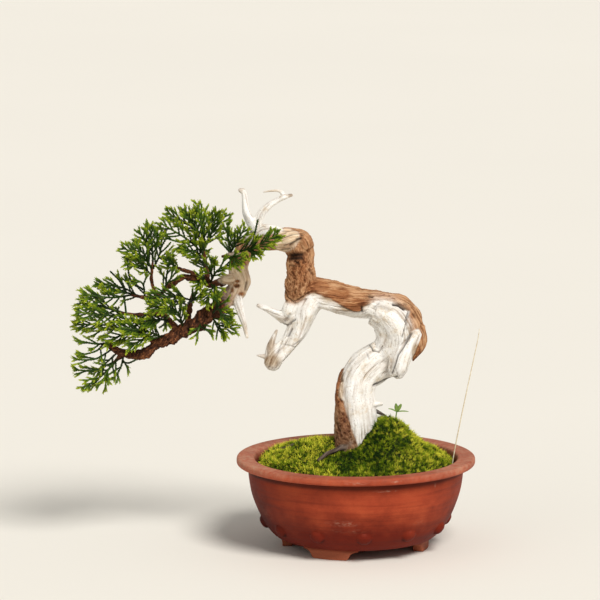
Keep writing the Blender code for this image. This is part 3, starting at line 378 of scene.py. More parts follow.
class NodeTree:
    """A node tree, with the calls that finishes and shapes share."""

    def __init__(self, tree: bpy.types.NodeTree) -> None:
        """Holds the tree."""
        self.tree = tree

    def node(self, kind: str, inputs: dict | None = None, **settings: object) -> bpy.types.Node:
        """A node with its settings made and its inputs set or linked.

        Args:
            kind: The node's type.
            inputs: What goes into each socket, by name or number: a value or another node's output.
            **settings: The node's own properties.

        Returns:
            The node.
        """
        node = self.tree.nodes.new(kind)
        for key, value in settings.items():
            setattr(node, key, value)
        for key, value in (inputs or {}).items():
            self.put(node.inputs[key], value)
        return node

    def put(self, socket: Socket, value: object) -> None:
        """Links an output to a socket, or sets the socket's own value.

        Args:
            socket: The input.
            value: An output, a value or a colour.
        """
        if isinstance(value, Socket):
            self.tree.links.new(value, socket)
        else:
            socket.default_value = (*value, 1.0) if socket.type == "RGBA" else value

    def math(self, operation: str, first: object, second: object) -> Socket:
        """What this operation makes of two values."""
        return self.node("ShaderNodeMath", {0: first, 1: second}, operation=operation).outputs[0]

    def times(self, first: object, second: object) -> Socket:
        """The product of two values."""
        return self.math("MULTIPLY", first, second)

    def plus(self, first: object, second: object) -> Socket:
        """The sum of two values."""
        return self.math("ADD", first, second)


class Shading(NodeTree):
    """One material's node tree, with short calls for the nodes that the finishes share."""

    def __init__(self, name: str) -> None:
        """A new material.

        Args:
            name: Its name.
        """
        self.material = bpy.data.materials.new(name)
        self.material.use_nodes = True
        super().__init__(self.material.node_tree)

    def position(self) -> Socket:
        """The place on the piece, in metres."""
        return self.node("ShaderNodeTexCoord").outputs["Object"]

    def attribute(self, name: str, output: str = "Fac") -> Socket:
        """A value or vector stored at the piece's vertices."""
        return self.node("ShaderNodeAttribute", attribute_name=name).outputs[output]

    def mapped(self, vector: object, scale: Point, shift: Point = (0, 0, 0)) -> Socket:
        """A vector scaled by axis, then shifted."""
        inputs = {"Vector": vector, "Scale": scale, "Location": shift}
        return self.node("ShaderNodeMapping", inputs).outputs[0]

    def noise(
        self, vector: object, scale: float, detail: float = 3.0, rough: float = 0.55, bend: float = 0.0
    ) -> Socket:
        """Cloudy noise around 0.5: how fine, with how many finer layers, how strong and how bent."""
        inputs = {"Vector": vector, "Scale": scale, "Detail": detail, "Roughness": rough, "Distortion": bend}
        return self.node("ShaderNodeTexNoise", inputs).outputs["Fac"]

    def cells(self, vector: object, scale: float) -> Socket:
        """How far a place is from the middle of the cell that it is in."""
        return self.node("ShaderNodeTexVoronoi", {"Vector": vector, "Scale": scale}).outputs["Distance"]

    def ramp(self, value: object, *stops: Point) -> Socket:
        """Colours by value.

        Args:
            value: What is looked up.
            *stops: Each a place between 0 and 1, then its colour.

        Returns:
            The colour.
        """
        node = self.node("ShaderNodeValToRGB", {"Fac": value})
        marks = node.color_ramp.elements
        while len(marks) < len(stops):
            marks.new(1.0)
        for element, (at, *colour) in zip(marks, stops):
            element.position = at
            element.color = (*colour, 1.0)
        return node.outputs["Color"]

    def mixed(self, share: object, first: object, second: object, blend: str = "MIX") -> Socket:
        """The first colour, with this share of the second mixed in."""
        inputs = {0: share, 6: first, 7: second}
        return self.node("ShaderNodeMix", inputs, data_type="RGBA", blend_type=blend).outputs[2]

    def between(self, value: object, low: float, high: float, start: float = 0.0, end: float = 1.0) -> Socket:
        """A value stretched from the span low to high to the span start to end, and held at its ends."""
        inputs = {"Value": value, "From Min": low, "From Max": high, "To Min": start, "To Max": end}
        return self.node("ShaderNodeMapRange", inputs).outputs["Result"]

    def bump(self, height: object, depth: float, strength: float = 1.0) -> Socket:
        """A relief too fine for the mesh; depth is in millimetres."""
        inputs = {"Height": height, "Distance": depth * MM, "Strength": strength}
        return self.node("ShaderNodeBump", inputs).outputs["Normal"]

    def close(self, colour: object, roughness: object, normal: object = None, gloss: float = 0.5) -> Material:
        """Puts the colour, roughness, relief and gloss into the shader.

        Args:
            colour: The base colour.
            roughness: How rough the surface is.
            normal: A relief, if it has one.
            gloss: How strongly it shines.

        Returns:
            The finished material.
        """
        parts = {"Base Color": colour, "Roughness": roughness, "Normal": normal, "Specular IOR Level": gloss}
        for name, value in parts.items():
            if value is not None:
                self.put(self.tree.nodes["Principled BSDF"].inputs[name], value)
        return self.material


@dataclass(frozen=True)
class WoodFinish:
    """Bleached deadwood, live vein, crusty bark and old cut wood, each where the trunk's marks put it."""

    name: str = "juniper_wood"
    gloss: float = 0.16

    def build(self) -> Material:
        """Shades the wood by its marks: grain, live, rough, crust, tan, earth, the stain mark of real
        staining and painted shade, and the groove and hollow marks of painted shade.

        Returns:
            The material.
        """
        s = Shading(self.name)
        grain = s.attribute("grain", "Vector")
        spot = s.position()
        # This mark holds real staining and knots together with painted shade: on the column, under the head,
        # under the shelf and in the white wood.
        stain_and_shade = s.attribute("stain_and_shade")
        streak = s.noise(s.mapped(grain, (0.055, 1, 1)), 1.1, 7, 0.66, 0.6)
        fibre = s.noise(s.mapped(grain, (0.07, 1, 1)), 3.4, 5, 0.66)
        rough = s.attribute("rough")
        smooth = s.math("SUBTRACT", 1.0, rough)
        mottle = s.times(s.noise(s.mapped(grain, (0.6, 1, 1)), 0.9, 7, 0.72, 1.2), rough)
        mottle = s.plus(mottle, s.times(streak, smooth))
        grit = s.times(s.noise(s.mapped(grain, (0.7, 1, 1)), 2.8, 5, 0.7), rough)
        grit = s.plus(grit, s.times(fibre, smooth))
        patch = s.noise(spot, 170, 4)
        crust = s.noise(s.mapped(grain, (0.5, 1, 1)), 0.9, 7, 0.75, 0.9)
        warmth = s.plus(patch, s.between(s.noise(spot, 620, 4), 0.3, 0.7, -0.12, 0.12))
        bleached = s.ramp(
            warmth, (0.30, 0.80, 0.71, 0.59), (0.40, 0.885, 0.85, 0.78), (0.52, 0.915, 0.89, 0.84),
            (0.70, 0.93, 0.92, 0.89),
        )
        lines = s.ramp(streak, (0.33, 0.28, 0.24, 0.20), (0.385, 0.76, 0.73, 0.69), (0.44, *WHITE))
        bleached = s.mixed(0.8, bleached, lines, "MULTIPLY")
        specks = s.ramp(s.noise(spot, 1300, 3, 0.6), (0.32, 0.50, 0.44, 0.38), (0.40, *WHITE))
        bleached = s.mixed(0.7, bleached, specks, "MULTIPLY")
        weathered_and_shaded = s.ramp(
            streak, (0.32, 0.13, 0.072, 0.036), (0.44, 0.36, 0.25, 0.155), (0.56, 0.56, 0.45, 0.33),
            (0.74, 0.76, 0.67, 0.53),
        )
        # Deadwood turns brown where this mark is high: partly real weathering, partly painted shade.
        dead = s.mixed(stain_and_shade, bleached, weathered_and_shaded)
        light_vein = s.ramp(
            mottle, (0.30, 0.16, 0.056, 0.022), (0.42, 0.40, 0.190, 0.085), (0.56, 0.58, 0.335, 0.175),
            (0.76, 0.76, 0.55, 0.37),
        )
        dark_vein = s.ramp(
            mottle, (0.32, 0.060, 0.020, 0.008), (0.43, 0.19, 0.064, 0.024), (0.54, 0.36, 0.148, 0.058),
            (0.66, 0.52, 0.285, 0.135), (0.80, 0.68, 0.47, 0.27),
        )
        # The dark vein colour comes in where the mark above is high: darker bark, partly painted shade.
        dim = s.plus(stain_and_shade, s.between(patch, 0.3, 0.7, -0.30, 0.30))
        live = s.mixed(s.between(dim, 0.1, 0.9), light_vein, dark_vein)
        bark = s.ramp(
            crust, (0.36, 0.014, 0.005, 0.003), (0.46, 0.060, 0.020, 0.009), (0.55, 0.17, 0.058, 0.022),
            (0.64, 0.42, 0.165, 0.062), (0.74, 0.55, 0.33, 0.18), (0.86, 0.66, 0.50, 0.34),
        )
        cut = s.ramp(
            streak, (0.30, 0.34, 0.19, 0.10), (0.41, 0.66, 0.46, 0.29), (0.54, 0.84, 0.66, 0.46),
            (0.76, 0.92, 0.82, 0.66),
        )
        cut = s.mixed(stain_and_shade, cut, dark_vein)
        root = s.ramp(
            streak, (0.3, 0.022, 0.014, 0.011), (0.52, 0.085, 0.058, 0.044), (0.75, 0.27, 0.21, 0.17)
        )
        colour = dead
        for name, cover in {"tan": cut, "live": live, "crust": bark, "earth": root}.items():
            colour = s.mixed(s.attribute(name), colour, cover)
        shade = s.ramp(grit, (0.32, 0.66, 0.60, 0.54), (0.47, *WHITE), (0.70, 1.05, 1.05, 1.05))
        fibred = s.between(s.attribute("live"), 0.0, 1.0, 0.32, 0.85)
        colour = s.mixed(fibred, colour, shade, "MULTIPLY")
        # Painted shade: darker in the grooves of the grain, cracks, gnarls, wrinkles and along the live
        # vein's edge.
        colour = s.mixed(s.attribute("groove_shade"), colour, (0.42, 0.33, 0.26), "MULTIPLY")
        # Painted shade: near black in pits, cracks and the gaps between bark flakes.
        colour = s.mixed(s.attribute("hollow_shade"), colour, (0.022, 0.010, 0.006))
        relief = s.plus(grit, s.times(mottle, 0.8))
        return s.close(colour, s.between(fibre, 0.3, 0.7, 0.92, 0.72), s.bump(relief, 0.28, 0.8), self.gloss)


@dataclass(frozen=True)
class LeafFinish:
    """Scale leaves: deep green on old shoots, yellow-green at young tips, over brown-green stems."""

    name: str = "juniper_leaf"
    old: Colour = (0.008, 0.022, 0.003)
    ripe: Colour = (0.028, 0.080, 0.004)
    lively: Colour = (0.140, 0.225, 0.006)
    fresh: Colour = (0.42, 0.49, 0.028)
    stem: Colour = (0.045, 0.055, 0.014)
    gloss: float = 0.17

    def build(self) -> Material:
        """Shades the leaves by their marks: young, tone and leaf.

        Returns:
            The material.
        """
        s = Shading(self.name)
        spot = s.position()
        age = s.plus(s.attribute("young"), s.times(s.attribute("tone"), 0.12))
        age = s.plus(age, s.between(s.noise(spot, 230, 2), 0.3, 0.7, -0.16, 0.16))
        green = s.ramp(age, (0.15, *self.old), (0.48, *self.ripe), (0.78, *self.lively), (1.05, *self.fresh))
        colour = s.mixed(s.attribute("leaf"), self.stem, green)
        speck = s.ramp(s.noise(spot, 2600, 2), (0.35, 0.78, 0.82, 0.70), (0.62, *WHITE))
        colour = s.mixed(0.6, colour, speck, "MULTIPLY")
        relief = s.bump(s.noise(spot, 3200, 2), 0.06, 0.5)
        return s.close(colour, s.between(s.noise(spot, 900, 2), 0.3, 0.7, 0.38, 0.52), relief, self.gloss)


@dataclass(frozen=True)
class MossFinish:
    """Moss: near black at its foot, its darker base with painted shade, green to yellow at its tips, with
    brown, dry patches.
    """

    name: str = "moss"
    foot: Colour = (0.004, 0.006, 0.001)
    deep: Colour = (0.020, 0.064, 0.003)
    lit: Colour = (0.25, 0.36, 0.009)
    gold: Colour = (0.90, 0.86, 0.070)
    dry: Colour = (0.20, 0.115, 0.022)
    gloss: float = 0.12

    def build(self) -> Material:
        """Shades the moss by its marks: fresh, bright and tone.

        Returns:
            The material.
        """
        s = Shading(self.name)
        spot = s.position()
        # This mark adds painted light on the right side and painted shade in the tuft creases to the moss's
        # own yellowing.
        bright = s.plus(s.attribute("bright"), s.between(s.noise(spot, 170, 4), 0.3, 0.7, -0.32, 0.32))
        bright = s.plus(bright, s.between(s.attribute("tone"), 0.0, 1.0, -0.46, 0.46))
        tip = s.ramp(bright, (0.05, *self.deep), (0.55, *self.lit), (1.10, *self.gold))
        parched = s.between(s.noise(spot, 380, 3), 0.30, 0.72, -0.38, 0.62)
        tip = s.mixed(s.between(parched, 0.30, 0.75, 0.0, 0.8), tip, self.dry)
        # The foot colour is the moss's darker base together with painted shade; the mat, marked 0.20, stays
        # near it between the sprigs.
        colour = s.mixed(s.between(s.attribute("fresh"), 0.12, 0.72), self.foot, tip)
        return s.close(colour, 0.75, s.bump(s.noise(spot, 2400, 3), 0.1, 0.5), self.gloss)


@dataclass(frozen=True)
class EarthFinish:
    """Baked clay grains and grit, dark with water."""

    name: str = "granular_soil"

    def build(self) -> Material:
        """Shades the soil.

        Returns:
            The material.
        """
        s = Shading(self.name)
        spot = s.position()
        grain = s.noise(spot, 380, 2)
        colour = s.ramp(
            grain, (0.34, 0.018, 0.011, 0.007), (0.48, 0.065, 0.036, 0.020), (0.58, 0.15, 0.085, 0.048),
            (0.68, 0.34, 0.24, 0.15),
        )
        speck = s.ramp(s.noise(spot, 1800, 3), (0.35, 0.55, 0.5, 0.45), (0.65, *WHITE))
        colour = s.mixed(0.8, colour, speck, "MULTIPLY")
        return s.close(colour, 0.88, s.bump(s.cells(spot, 700), 0.5, 0.8))


@dataclass(frozen=True)
class Scuff:
    """A pale rub mark on the pot: its middle and half-widths in millimetres, and how strong it is."""

    middle: Point
    reach: Point
    strength: float


@dataclass(frozen=True)
class ClayFinish:
    """Unglazed red-brown stoneware, wiped round by hand, dusty on the lip; painted shade darkens its foot,
    its left side, under its studs and under its lip, and painted light brightens its feet.
    """

    name: str = "unglazed_clay"
    deep: Colour = (0.245, 0.034, 0.013)
    body: Colour = (0.345, 0.050, 0.018)
    warm: Colour = (0.430, 0.074, 0.026)
    # Painted shade: this colour darkens the body towards its foot.
    low_darkening: Colour = (0.36, 0.17, 0.125)
    dust: Colour = (0.50, 0.310, 0.205)
    # Painted shade for the left side of the body.
    painted_left_shade: Colour = (0.50, 0.37, 0.31)
    # Painted light: this colour makes the feet lighter, as lit.
    bare: Colour = (0.43, 0.130, 0.064)
    chalk: Colour = (0.60, 0.40, 0.29)
    gloss: float = 0.14
    scuffs: tuple[Scuff, ...] = (
        Scuff((33, -50, 21.5), (10, 9, 2.2), 0.55), Scuff((36, -48, 17.5), (14, 9, 1.6), 0.30),
        Scuff((54.5, -52, 38.6), (9, 7, 0.7), 0.55), Scuff((-6, -22, 20.0), (6, 9, 5.0), 0.45),
        Scuff((70, -34, 20.0), (6, 8, 3.0), 0.30), Scuff((79, -36, 39.0), (0.7, 3, 2.0), 0.6),
        Scuff((40, -60, 44.0), (8, 3, 1.0), 0.35), Scuff((60, -57, 44.3), (4, 3, 0.8), 0.6),
    )

    def build(self) -> Material:
        """Shades the clay, with its painted-shade mark under the studs and in the crease under the lip.

        Returns:
            The material.
        """
        s = Shading(self.name)
        spot = s.position()
        wiped = s.noise(s.mapped(spot, (12, 12, 420)), 1.0, 6, 0.66, 0.3)
        cloud = s.noise(spot, 40, 4, 0.6)
        sand = s.noise(spot, 2300, 2)
        across, along, height = s.node("ShaderNodeSeparateXYZ", {0: spot}).outputs
        colour = s.ramp(cloud, (0.34, *self.deep), (0.50, *self.body), (0.68, *self.warm))
        streak = s.ramp(wiped, (0.34, 0.70, 0.64, 0.60), (0.48, *WHITE), (0.68, 1.14, 1.22, 1.26))
        colour = s.mixed(0.75, colour, streak, "MULTIPLY")
        lip = s.between(height, 0.0415, 0.0452)
        lip = s.times(lip, s.between(cloud, 0.3, 0.7, 0.35, 0.85))
        lip = s.times(lip, s.between(along, -0.058, -0.030, 0.22, 1.0))
        worn = s.between(s.noise(spot, 420, 5, 0.7), 0.38, 0.66, 0.35, 1.0)
        colour = s.mixed(s.times(lip, worn), colour, self.dust)
        for scuff in self.scuffs:
            scale = tuple(1 / (reach * MM) for reach in scuff.reach)
            shift = tuple(-middle / reach for middle, reach in zip(scuff.middle, scuff.reach))
            away = s.node("ShaderNodeVectorMath", {0: s.mapped(spot, scale, shift)}, operation="LENGTH")
            near = s.between(away.outputs["Value"], 1.0, 0.2)
            broken = s.between(s.noise(s.mapped(spot, (420, 420, 1300)), 1.0, 5, 0.75), 0.47, 0.62)
            share = s.times(s.times(near, broken), scuff.strength)
            colour = s.mixed(share, colour, self.chalk)
        # Painted shade: the body darkens from about 29 mm down to 15 mm.
        shade_height = s.plus(height, s.between(cloud, 0.3, 0.7, -0.004, 0.004))
        colour = s.mixed(s.between(shade_height, 0.029, 0.015, 0.0, 0.95), colour, self.low_darkening, "MULTIPLY")
        # Painted shade on the left side of the body, below the lip.
        side = s.times(s.between(across, 0.024, -0.010), s.between(height, 0.0425, 0.0395))
        colour = s.mixed(side, colour, self.painted_left_shade, "MULTIPLY")
        # Painted shade under the studs and in the crease under the lip.
        colour = s.mixed(s.attribute("painted_shade"), colour, (0.12, 0.08, 0.07), "MULTIPLY")
        # Painted light: the feet below 5.6 mm are made lighter, as lit, over the painted shade near the
        # bottom.
        colour = s.mixed(s.between(height, 0.0056, 0.0036, 0.0, 0.75), colour, self.bare)
        grit = s.ramp(sand, (0.30, 0.78, 0.76, 0.74), (0.46, *WHITE), (0.72, 1.14, 1.14, 1.14))
        colour = s.mixed(0.6, colour, grit, "MULTIPLY")
        relief = s.plus(s.times(wiped, 1.2), s.times(sand, 0.5))
        return s.close(colour, s.between(wiped, 0.3, 0.7, 0.56, 0.72), s.bump(relief, 0.12, 0.8), self.gloss)


@dataclass(frozen=True)
class TwoToneFinish:
    """Two tints in soft patches, with a fine grain: a leaf, straw, net or studio paper."""

    name: str
    first: Colour
    second: Colour
    ends: Point = (0.36, 0.66)
    patches: Point = (700, 3)
    grain: float = 2600
    roughness: float = 0.5

    def build(self) -> Material:
        """Shades the piece.

        Returns:
            The material.
        """
        s = Shading(self.name)
        low, high = self.ends
        colour = s.ramp(s.noise(s.position(), *self.patches), (low, *self.first), (high, *self.second))
        relief = s.bump(s.noise(s.position(), self.grain, 2), 0.05, 0.5) if self.grain else None
        return s.close(colour, self.roughness, relief)


SEEDLING_LEAF = TwoToneFinish("seedling_leaf", (0.08, 0.17, 0.02), (0.22, 0.31, 0.05))
STRAW = TwoToneFinish("straw", (0.62, 0.50, 0.30), (0.82, 0.75, 0.56), roughness=0.6)
NET = TwoToneFinish("net_plastic", (0.012, 0.012, 0.012), (0.045, 0.042, 0.038), (0.35, 0.7), (500, 2), 1800)
PAPER_TINTS = (0.83725, 0.8077, 0.733825), (0.85, 0.82, 0.745)
STUDIO_PAPER = TwoToneFinish("studio_paper", *PAPER_TINTS, (0.3, 0.7), (3.0, 2), 0, 0.9)


# Shapes that repeat


class ShapeTree(NodeTree):
    """A Geometry Nodes tree with named inputs, which ends in Realize Instances and Set Material."""

    def __init__(self, name: str) -> None:
        """A tree with its geometry sockets and a material.

        Args:
            name: Its name.
        """
        super().__init__(bpy.data.node_groups.new(name, "GeometryNodeTree"))
        for side in ("INPUT", "OUTPUT"):
            self.tree.interface.new_socket("Geometry", in_out=side, socket_type="NodeSocketGeometry")
        self.start = self.node("NodeGroupInput")
        self.end = self.node("NodeGroupOutput")
        self.setting("Material", "Material")

    def setting(self, name: str, kind: str = "Float") -> Socket:
        """Adds a named input of this kind and gives its output inside the tree."""
        self.tree.interface.new_socket(name, in_out="INPUT", socket_type="NodeSocket" + kind)
        return self.start.outputs[name]

    def stored(self, geometry: Socket, name: str, value: object) -> Socket:
        """The geometry with a value stored at each of its points."""
        inputs = {"Geometry": geometry, "Name": name, "Value": value}
        return self.node("GeometryNodeStoreNamedAttribute", inputs, domain="POINT").outputs[0]

    def named(self, name: str) -> Socket:
        """A value that the geometry's points hold."""
        return self.node("GeometryNodeInputNamedAttribute", {"Name": name}, data_type="FLOAT").outputs[0]

    def random(self, low: object, high: object, seed: int) -> Socket:
        """A random value between two others, the same in every run."""
        inputs = {2: low, 3: high, "Seed": seed}
        return self.node("FunctionNodeRandomValue", inputs, data_type="FLOAT").outputs[1]

    def turned(self, rotation: Socket, angle: object, axis: Point) -> Socket:
        """A rotation followed by a turn.

        Args:
            rotation: The rotation.
            angle: How far it turns after that.
            axis: Which of its own axes it turns about.

        Returns:
            The new rotation.
        """
        turn = self.node("FunctionNodeAxisAngleToRotation", {"Axis": axis, "Angle": angle}).outputs[0]
        inputs = {"Rotation": rotation, "Rotate By": turn}
        return self.node("FunctionNodeRotateRotation", inputs, rotation_space="LOCAL").outputs[0]

    def copies(self, points: Socket, shape: Socket, way: Socket, size: Socket) -> Socket:
        """A copy of the shape on each point, turned this way and of this size."""
        inputs = {"Points": points, "Instance": shape, "Rotation": way, "Scale": size}
        return self.node("GeometryNodeInstanceOnPoints", inputs).outputs[0]

    def template(self, name: str) -> Socket:
        """An object input, read as its geometry."""
        inputs = {"Object": self.setting(name, "Object")}
        return self.node("GeometryNodeObjectInfo", inputs, transform_space="ORIGINAL").outputs["Geometry"]

    def close(self, *parts: Socket) -> None:
        """Joins the parts, realizes them, gives them their material and ends the tree.

        Args:
            *parts: What the tree has made.
        """
        joined = self.node("GeometryNodeJoinGeometry")
        for part in parts:
            self.tree.links.new(part, joined.inputs[0])
        real = self.node("GeometryNodeRealizeInstances", {"Geometry": joined.outputs[0]})
        inputs = {"Geometry": real.outputs[0], "Material": self.start.outputs["Material"]}
        self.put(self.end.inputs[0], self.node("GeometryNodeSetMaterial", inputs).outputs[0])

    def run(self, obj: Object, **values: object) -> None:
        """Runs the tree on an object and makes the result its plain mesh.

        Args:
            obj: The object.
            **values: The named inputs, with _ for each space.
        """
        modifier = obj.modifiers.new("shape", "NODES")
        modifier.node_group = self.tree
        for item in self.tree.interface.items_tree:
            key = item.name.replace(" ", "_").lower()
            if item.in_out == "INPUT" and key in values:
                modifier[item.identifier] = values[key]
        plain_mesh(obj)


def leafy_shoots() -> ShapeTree:
    """Clads twigs in pairs of scale leaves, each pair crosswise to the one before it.

    Returns:
        The tree that does so.
    """
    tree = ShapeTree("leafy_shoots")
    spacing, width = tree.setting("Leaf Spacing"), tree.setting("Stem Share")
    pair = tree.template("Leaf Pair")
    thick = tree.named("thick")
    curve = tree.node("GeometryNodeMeshToCurve", {"Mesh": tree.start.outputs["Geometry"]}).outputs[0]
    ring = tree.node("GeometryNodeCurvePrimitiveCircle", {"Resolution": 5, "Radius": 1.0}).outputs[0]
    inputs = {"Curve": curve, "Profile Curve": ring, "Scale": tree.times(thick, width), "Fill Caps": True}
    stems = tree.stored(tree.node("GeometryNodeCurveToMesh", inputs).outputs[0], "leaf", 0.7)
    marks = tree.node("GeometryNodeCurveToPoints", {"Curve": curve, "Length": spacing}, mode="LENGTH")
    points = tree.stored(marks.outputs["Points"], "tone", tree.random(-1.0, 1.0, 3))
    points = tree.stored(points, "leaf", 1.0)
    inputs = {"Vector": marks.outputs["Tangent"]}
    way = tree.node("FunctionNodeAlignRotationToVector", inputs, axis="Z").outputs[0]
    index = tree.node("GeometryNodeInputIndex").outputs[0]
    quarter = tree.plus(tree.times(index, math.pi / 2), tree.random(-0.25, 0.25, 5))
    size = tree.times(thick, tree.random(0.9, 1.12, 7))
    tree.close(stems, tree.copies(points, pair, tree.turned(way, quarter, (0, 0, 1)), size))
    return tree


def scattered() -> ShapeTree:
    """Stands copies of a small shape all over a surface, where its mark grow lets them.

    Returns:
        The tree that does so.
    """
    tree = ShapeTree("scattered")
    least, most, tilt = (tree.setting(name) for name in ("Least Size", "Most Size", "Tilt"))
    shape = tree.template("Shape")
    inputs = {
        "Mesh": tree.start.outputs["Geometry"],
        "Distance Min": tree.setting("Apart"),
        "Density Max": tree.setting("Density"),
        "Density Factor": tree.named("grow"),
        "Seed": tree.setting("Seed", "Int"),
    }
    spread = tree.node("GeometryNodeDistributePointsOnFaces", inputs, distribute_method="POISSON")
    points = tree.stored(spread.outputs["Points"], "tone", tree.random(0.0, 1.0, 11))
    way = tree.turned(spread.outputs["Rotation"], tree.random(-math.pi, math.pi, 13), (0, 0, 1))
    way = tree.turned(way, tree.times(tilt, tree.random(-1.0, 1.0, 17)), (1, 0, 0))
    tree.close(tree.copies(points, shape, way, tree.random(least, most, 19)))
    return tree


# Wood


@dataclass(frozen=True)
class Section:
    """How a limb's section departs from a circle: so many ridges of this height, turning as they climb."""

    sides: int = 8
    ridges: int = 0
    height: float = 0.0
    turn: float = 0.0
    phase: float = 0.0


class Wood(Enum):
    """What a stretch of the trunk is covered in."""

    DEAD = "bleached deadwood"
    LIVE = "smooth live bark"
    MIXED = "deadwood and live vein side by side"
    CRUST = "crusty old bark"
    TAN = "old cut wood"
    EARTH = "dark root bark"


@dataclass(frozen=True)
class Limb:
    """A stretch of wood: its route as (across, down, depth, thickness), section, cover and far end."""

    route: tuple[Point, ...]
    section: Section = Section()
    wood: Wood = Wood.DEAD
    blunt: bool = False

    def rows(self, spacing: float) -> Array:
        """Points and radii along the limb, this far apart."""
        return smooth_route([(*place(*row[:3]), row[3] / 2) for row in self.route], spacing)

    def rings(self, spacing: float) -> Array:
        """The limb's skin, ring by ring.

        Args:
            spacing: How far apart the rings are.

        Returns:
            An array of rings, corners and coordinates.
        """
        rows = self.rows(spacing)
        reach = 1.0 if self.blunt else 0.5
        last, ahead = rows[-1], rows[-1] - rows[-2]
        ahead = ahead / norm(ahead[:3])
        swell = np.sin(np.linspace(0.15, 0.95, 5) * math.pi / 2)
        caps = [last + ahead * last[3] * reach * out for out in swell]
        for cap, out in zip(caps, swell):
            cap[3] = last[3] * math.sqrt(1 - out**2)
        rows = np.vstack([rows, caps])
        _, across, up = frames_along(rows[:, :3])
        run = length_along(rows[:, :3])
        sides = self.section.sides * 4
        angle = np.arange(sides) * 2 * math.pi / sides
        ridge = np.cos(self.section.ridges * angle + self.section.turn * run[:, None] + self.section.phase)
        radius = rows[:, 3:4] * (1 + self.section.height * ridge)
        out = across[:, None] * np.cos(angle)[:, None] + up[:, None] * np.sin(angle)[:, None]
        return rows[:, None, :3] + out * radius[..., None]


# The trunk, its deadwood and its bark twigs grew as one piece.
FLUTED = Section(sides=11, ridges=4, height=0.07, turn=0.03)
TWISTED = Section(sides=11, ridges=3, height=0.08, turn=0.07, phase=1.0)
BARKED = Section(sides=8, ridges=3, height=0.19, turn=0.42)
JIN = Section(sides=6, ridges=2, height=0.10, turn=0.15)
TWIG = Section(sides=5, ridges=3, height=0.08, turn=0.5)

BARK_TWIGS = {
    "crown_twig": ((238, 276, 2, 4.4), (222, 282, 0, 3.8), (208, 283, -1, 3.4), (197, 280, -1, 3.2),
        (186, 277, -1, 2.8), (176, 282, -0.5, 2.5), (166, 289, 0, 2.3), (156, 298, 0, 2.2),
        (143, 297, 0, 1.9), (131, 295, 0, 1.5)),
    "top_twig": ((208, 283, -1, 2.6), (206.5, 268, 1, 2.2), (204, 254, 2, 1.9), (202, 243, 2.5, 1.5)),
    "red_twig": ((202, 281, -1, 2.4), (192, 273.5, -3, 2.2), (182, 270, -4, 1.8), (177, 268, -4.5, 1.3)),
    "high_twig": ((157, 298, 0, 2), (152, 284, 0, 1.8), (152, 272, 0, 1.6), (153, 262, 0, 1.3)),
    "arm_twig": ((243, 254, 3, 3.2), (233, 254, -2, 2.4), (222, 257, -3, 1.6)),
    "right_twig": ((206, 317, -2, 3.6), (212, 314, -4, 3.2), (214, 309, -5, 2.6)),
    "low_twig": ((178, 333, -4, 3), (172, 323, -3.5, 2.6), (164, 315.5, -3, 2.6), (150, 314.5, -3, 3.4)),
    "back_twig": ((188, 328, -2, 3.2), (188, 314, 1, 2.8), (191, 302, 2, 2.4), (193, 292, 2, 1.8)),
    "outer_twig": ((152, 315, -3, 1.8), (136, 314.5, -2.5, 1.7), (121, 313, -2, 1.4)),
    "left_twig": ((156, 343, -5, 2.6), (140, 333.5, -5, 2), (126, 329.5, -5, 1.5)),
    "drop_twig": ((124, 353, -6.5, 2.8), (118.5, 358, -7, 2.3), (114, 362, -7, 1.6)),
}
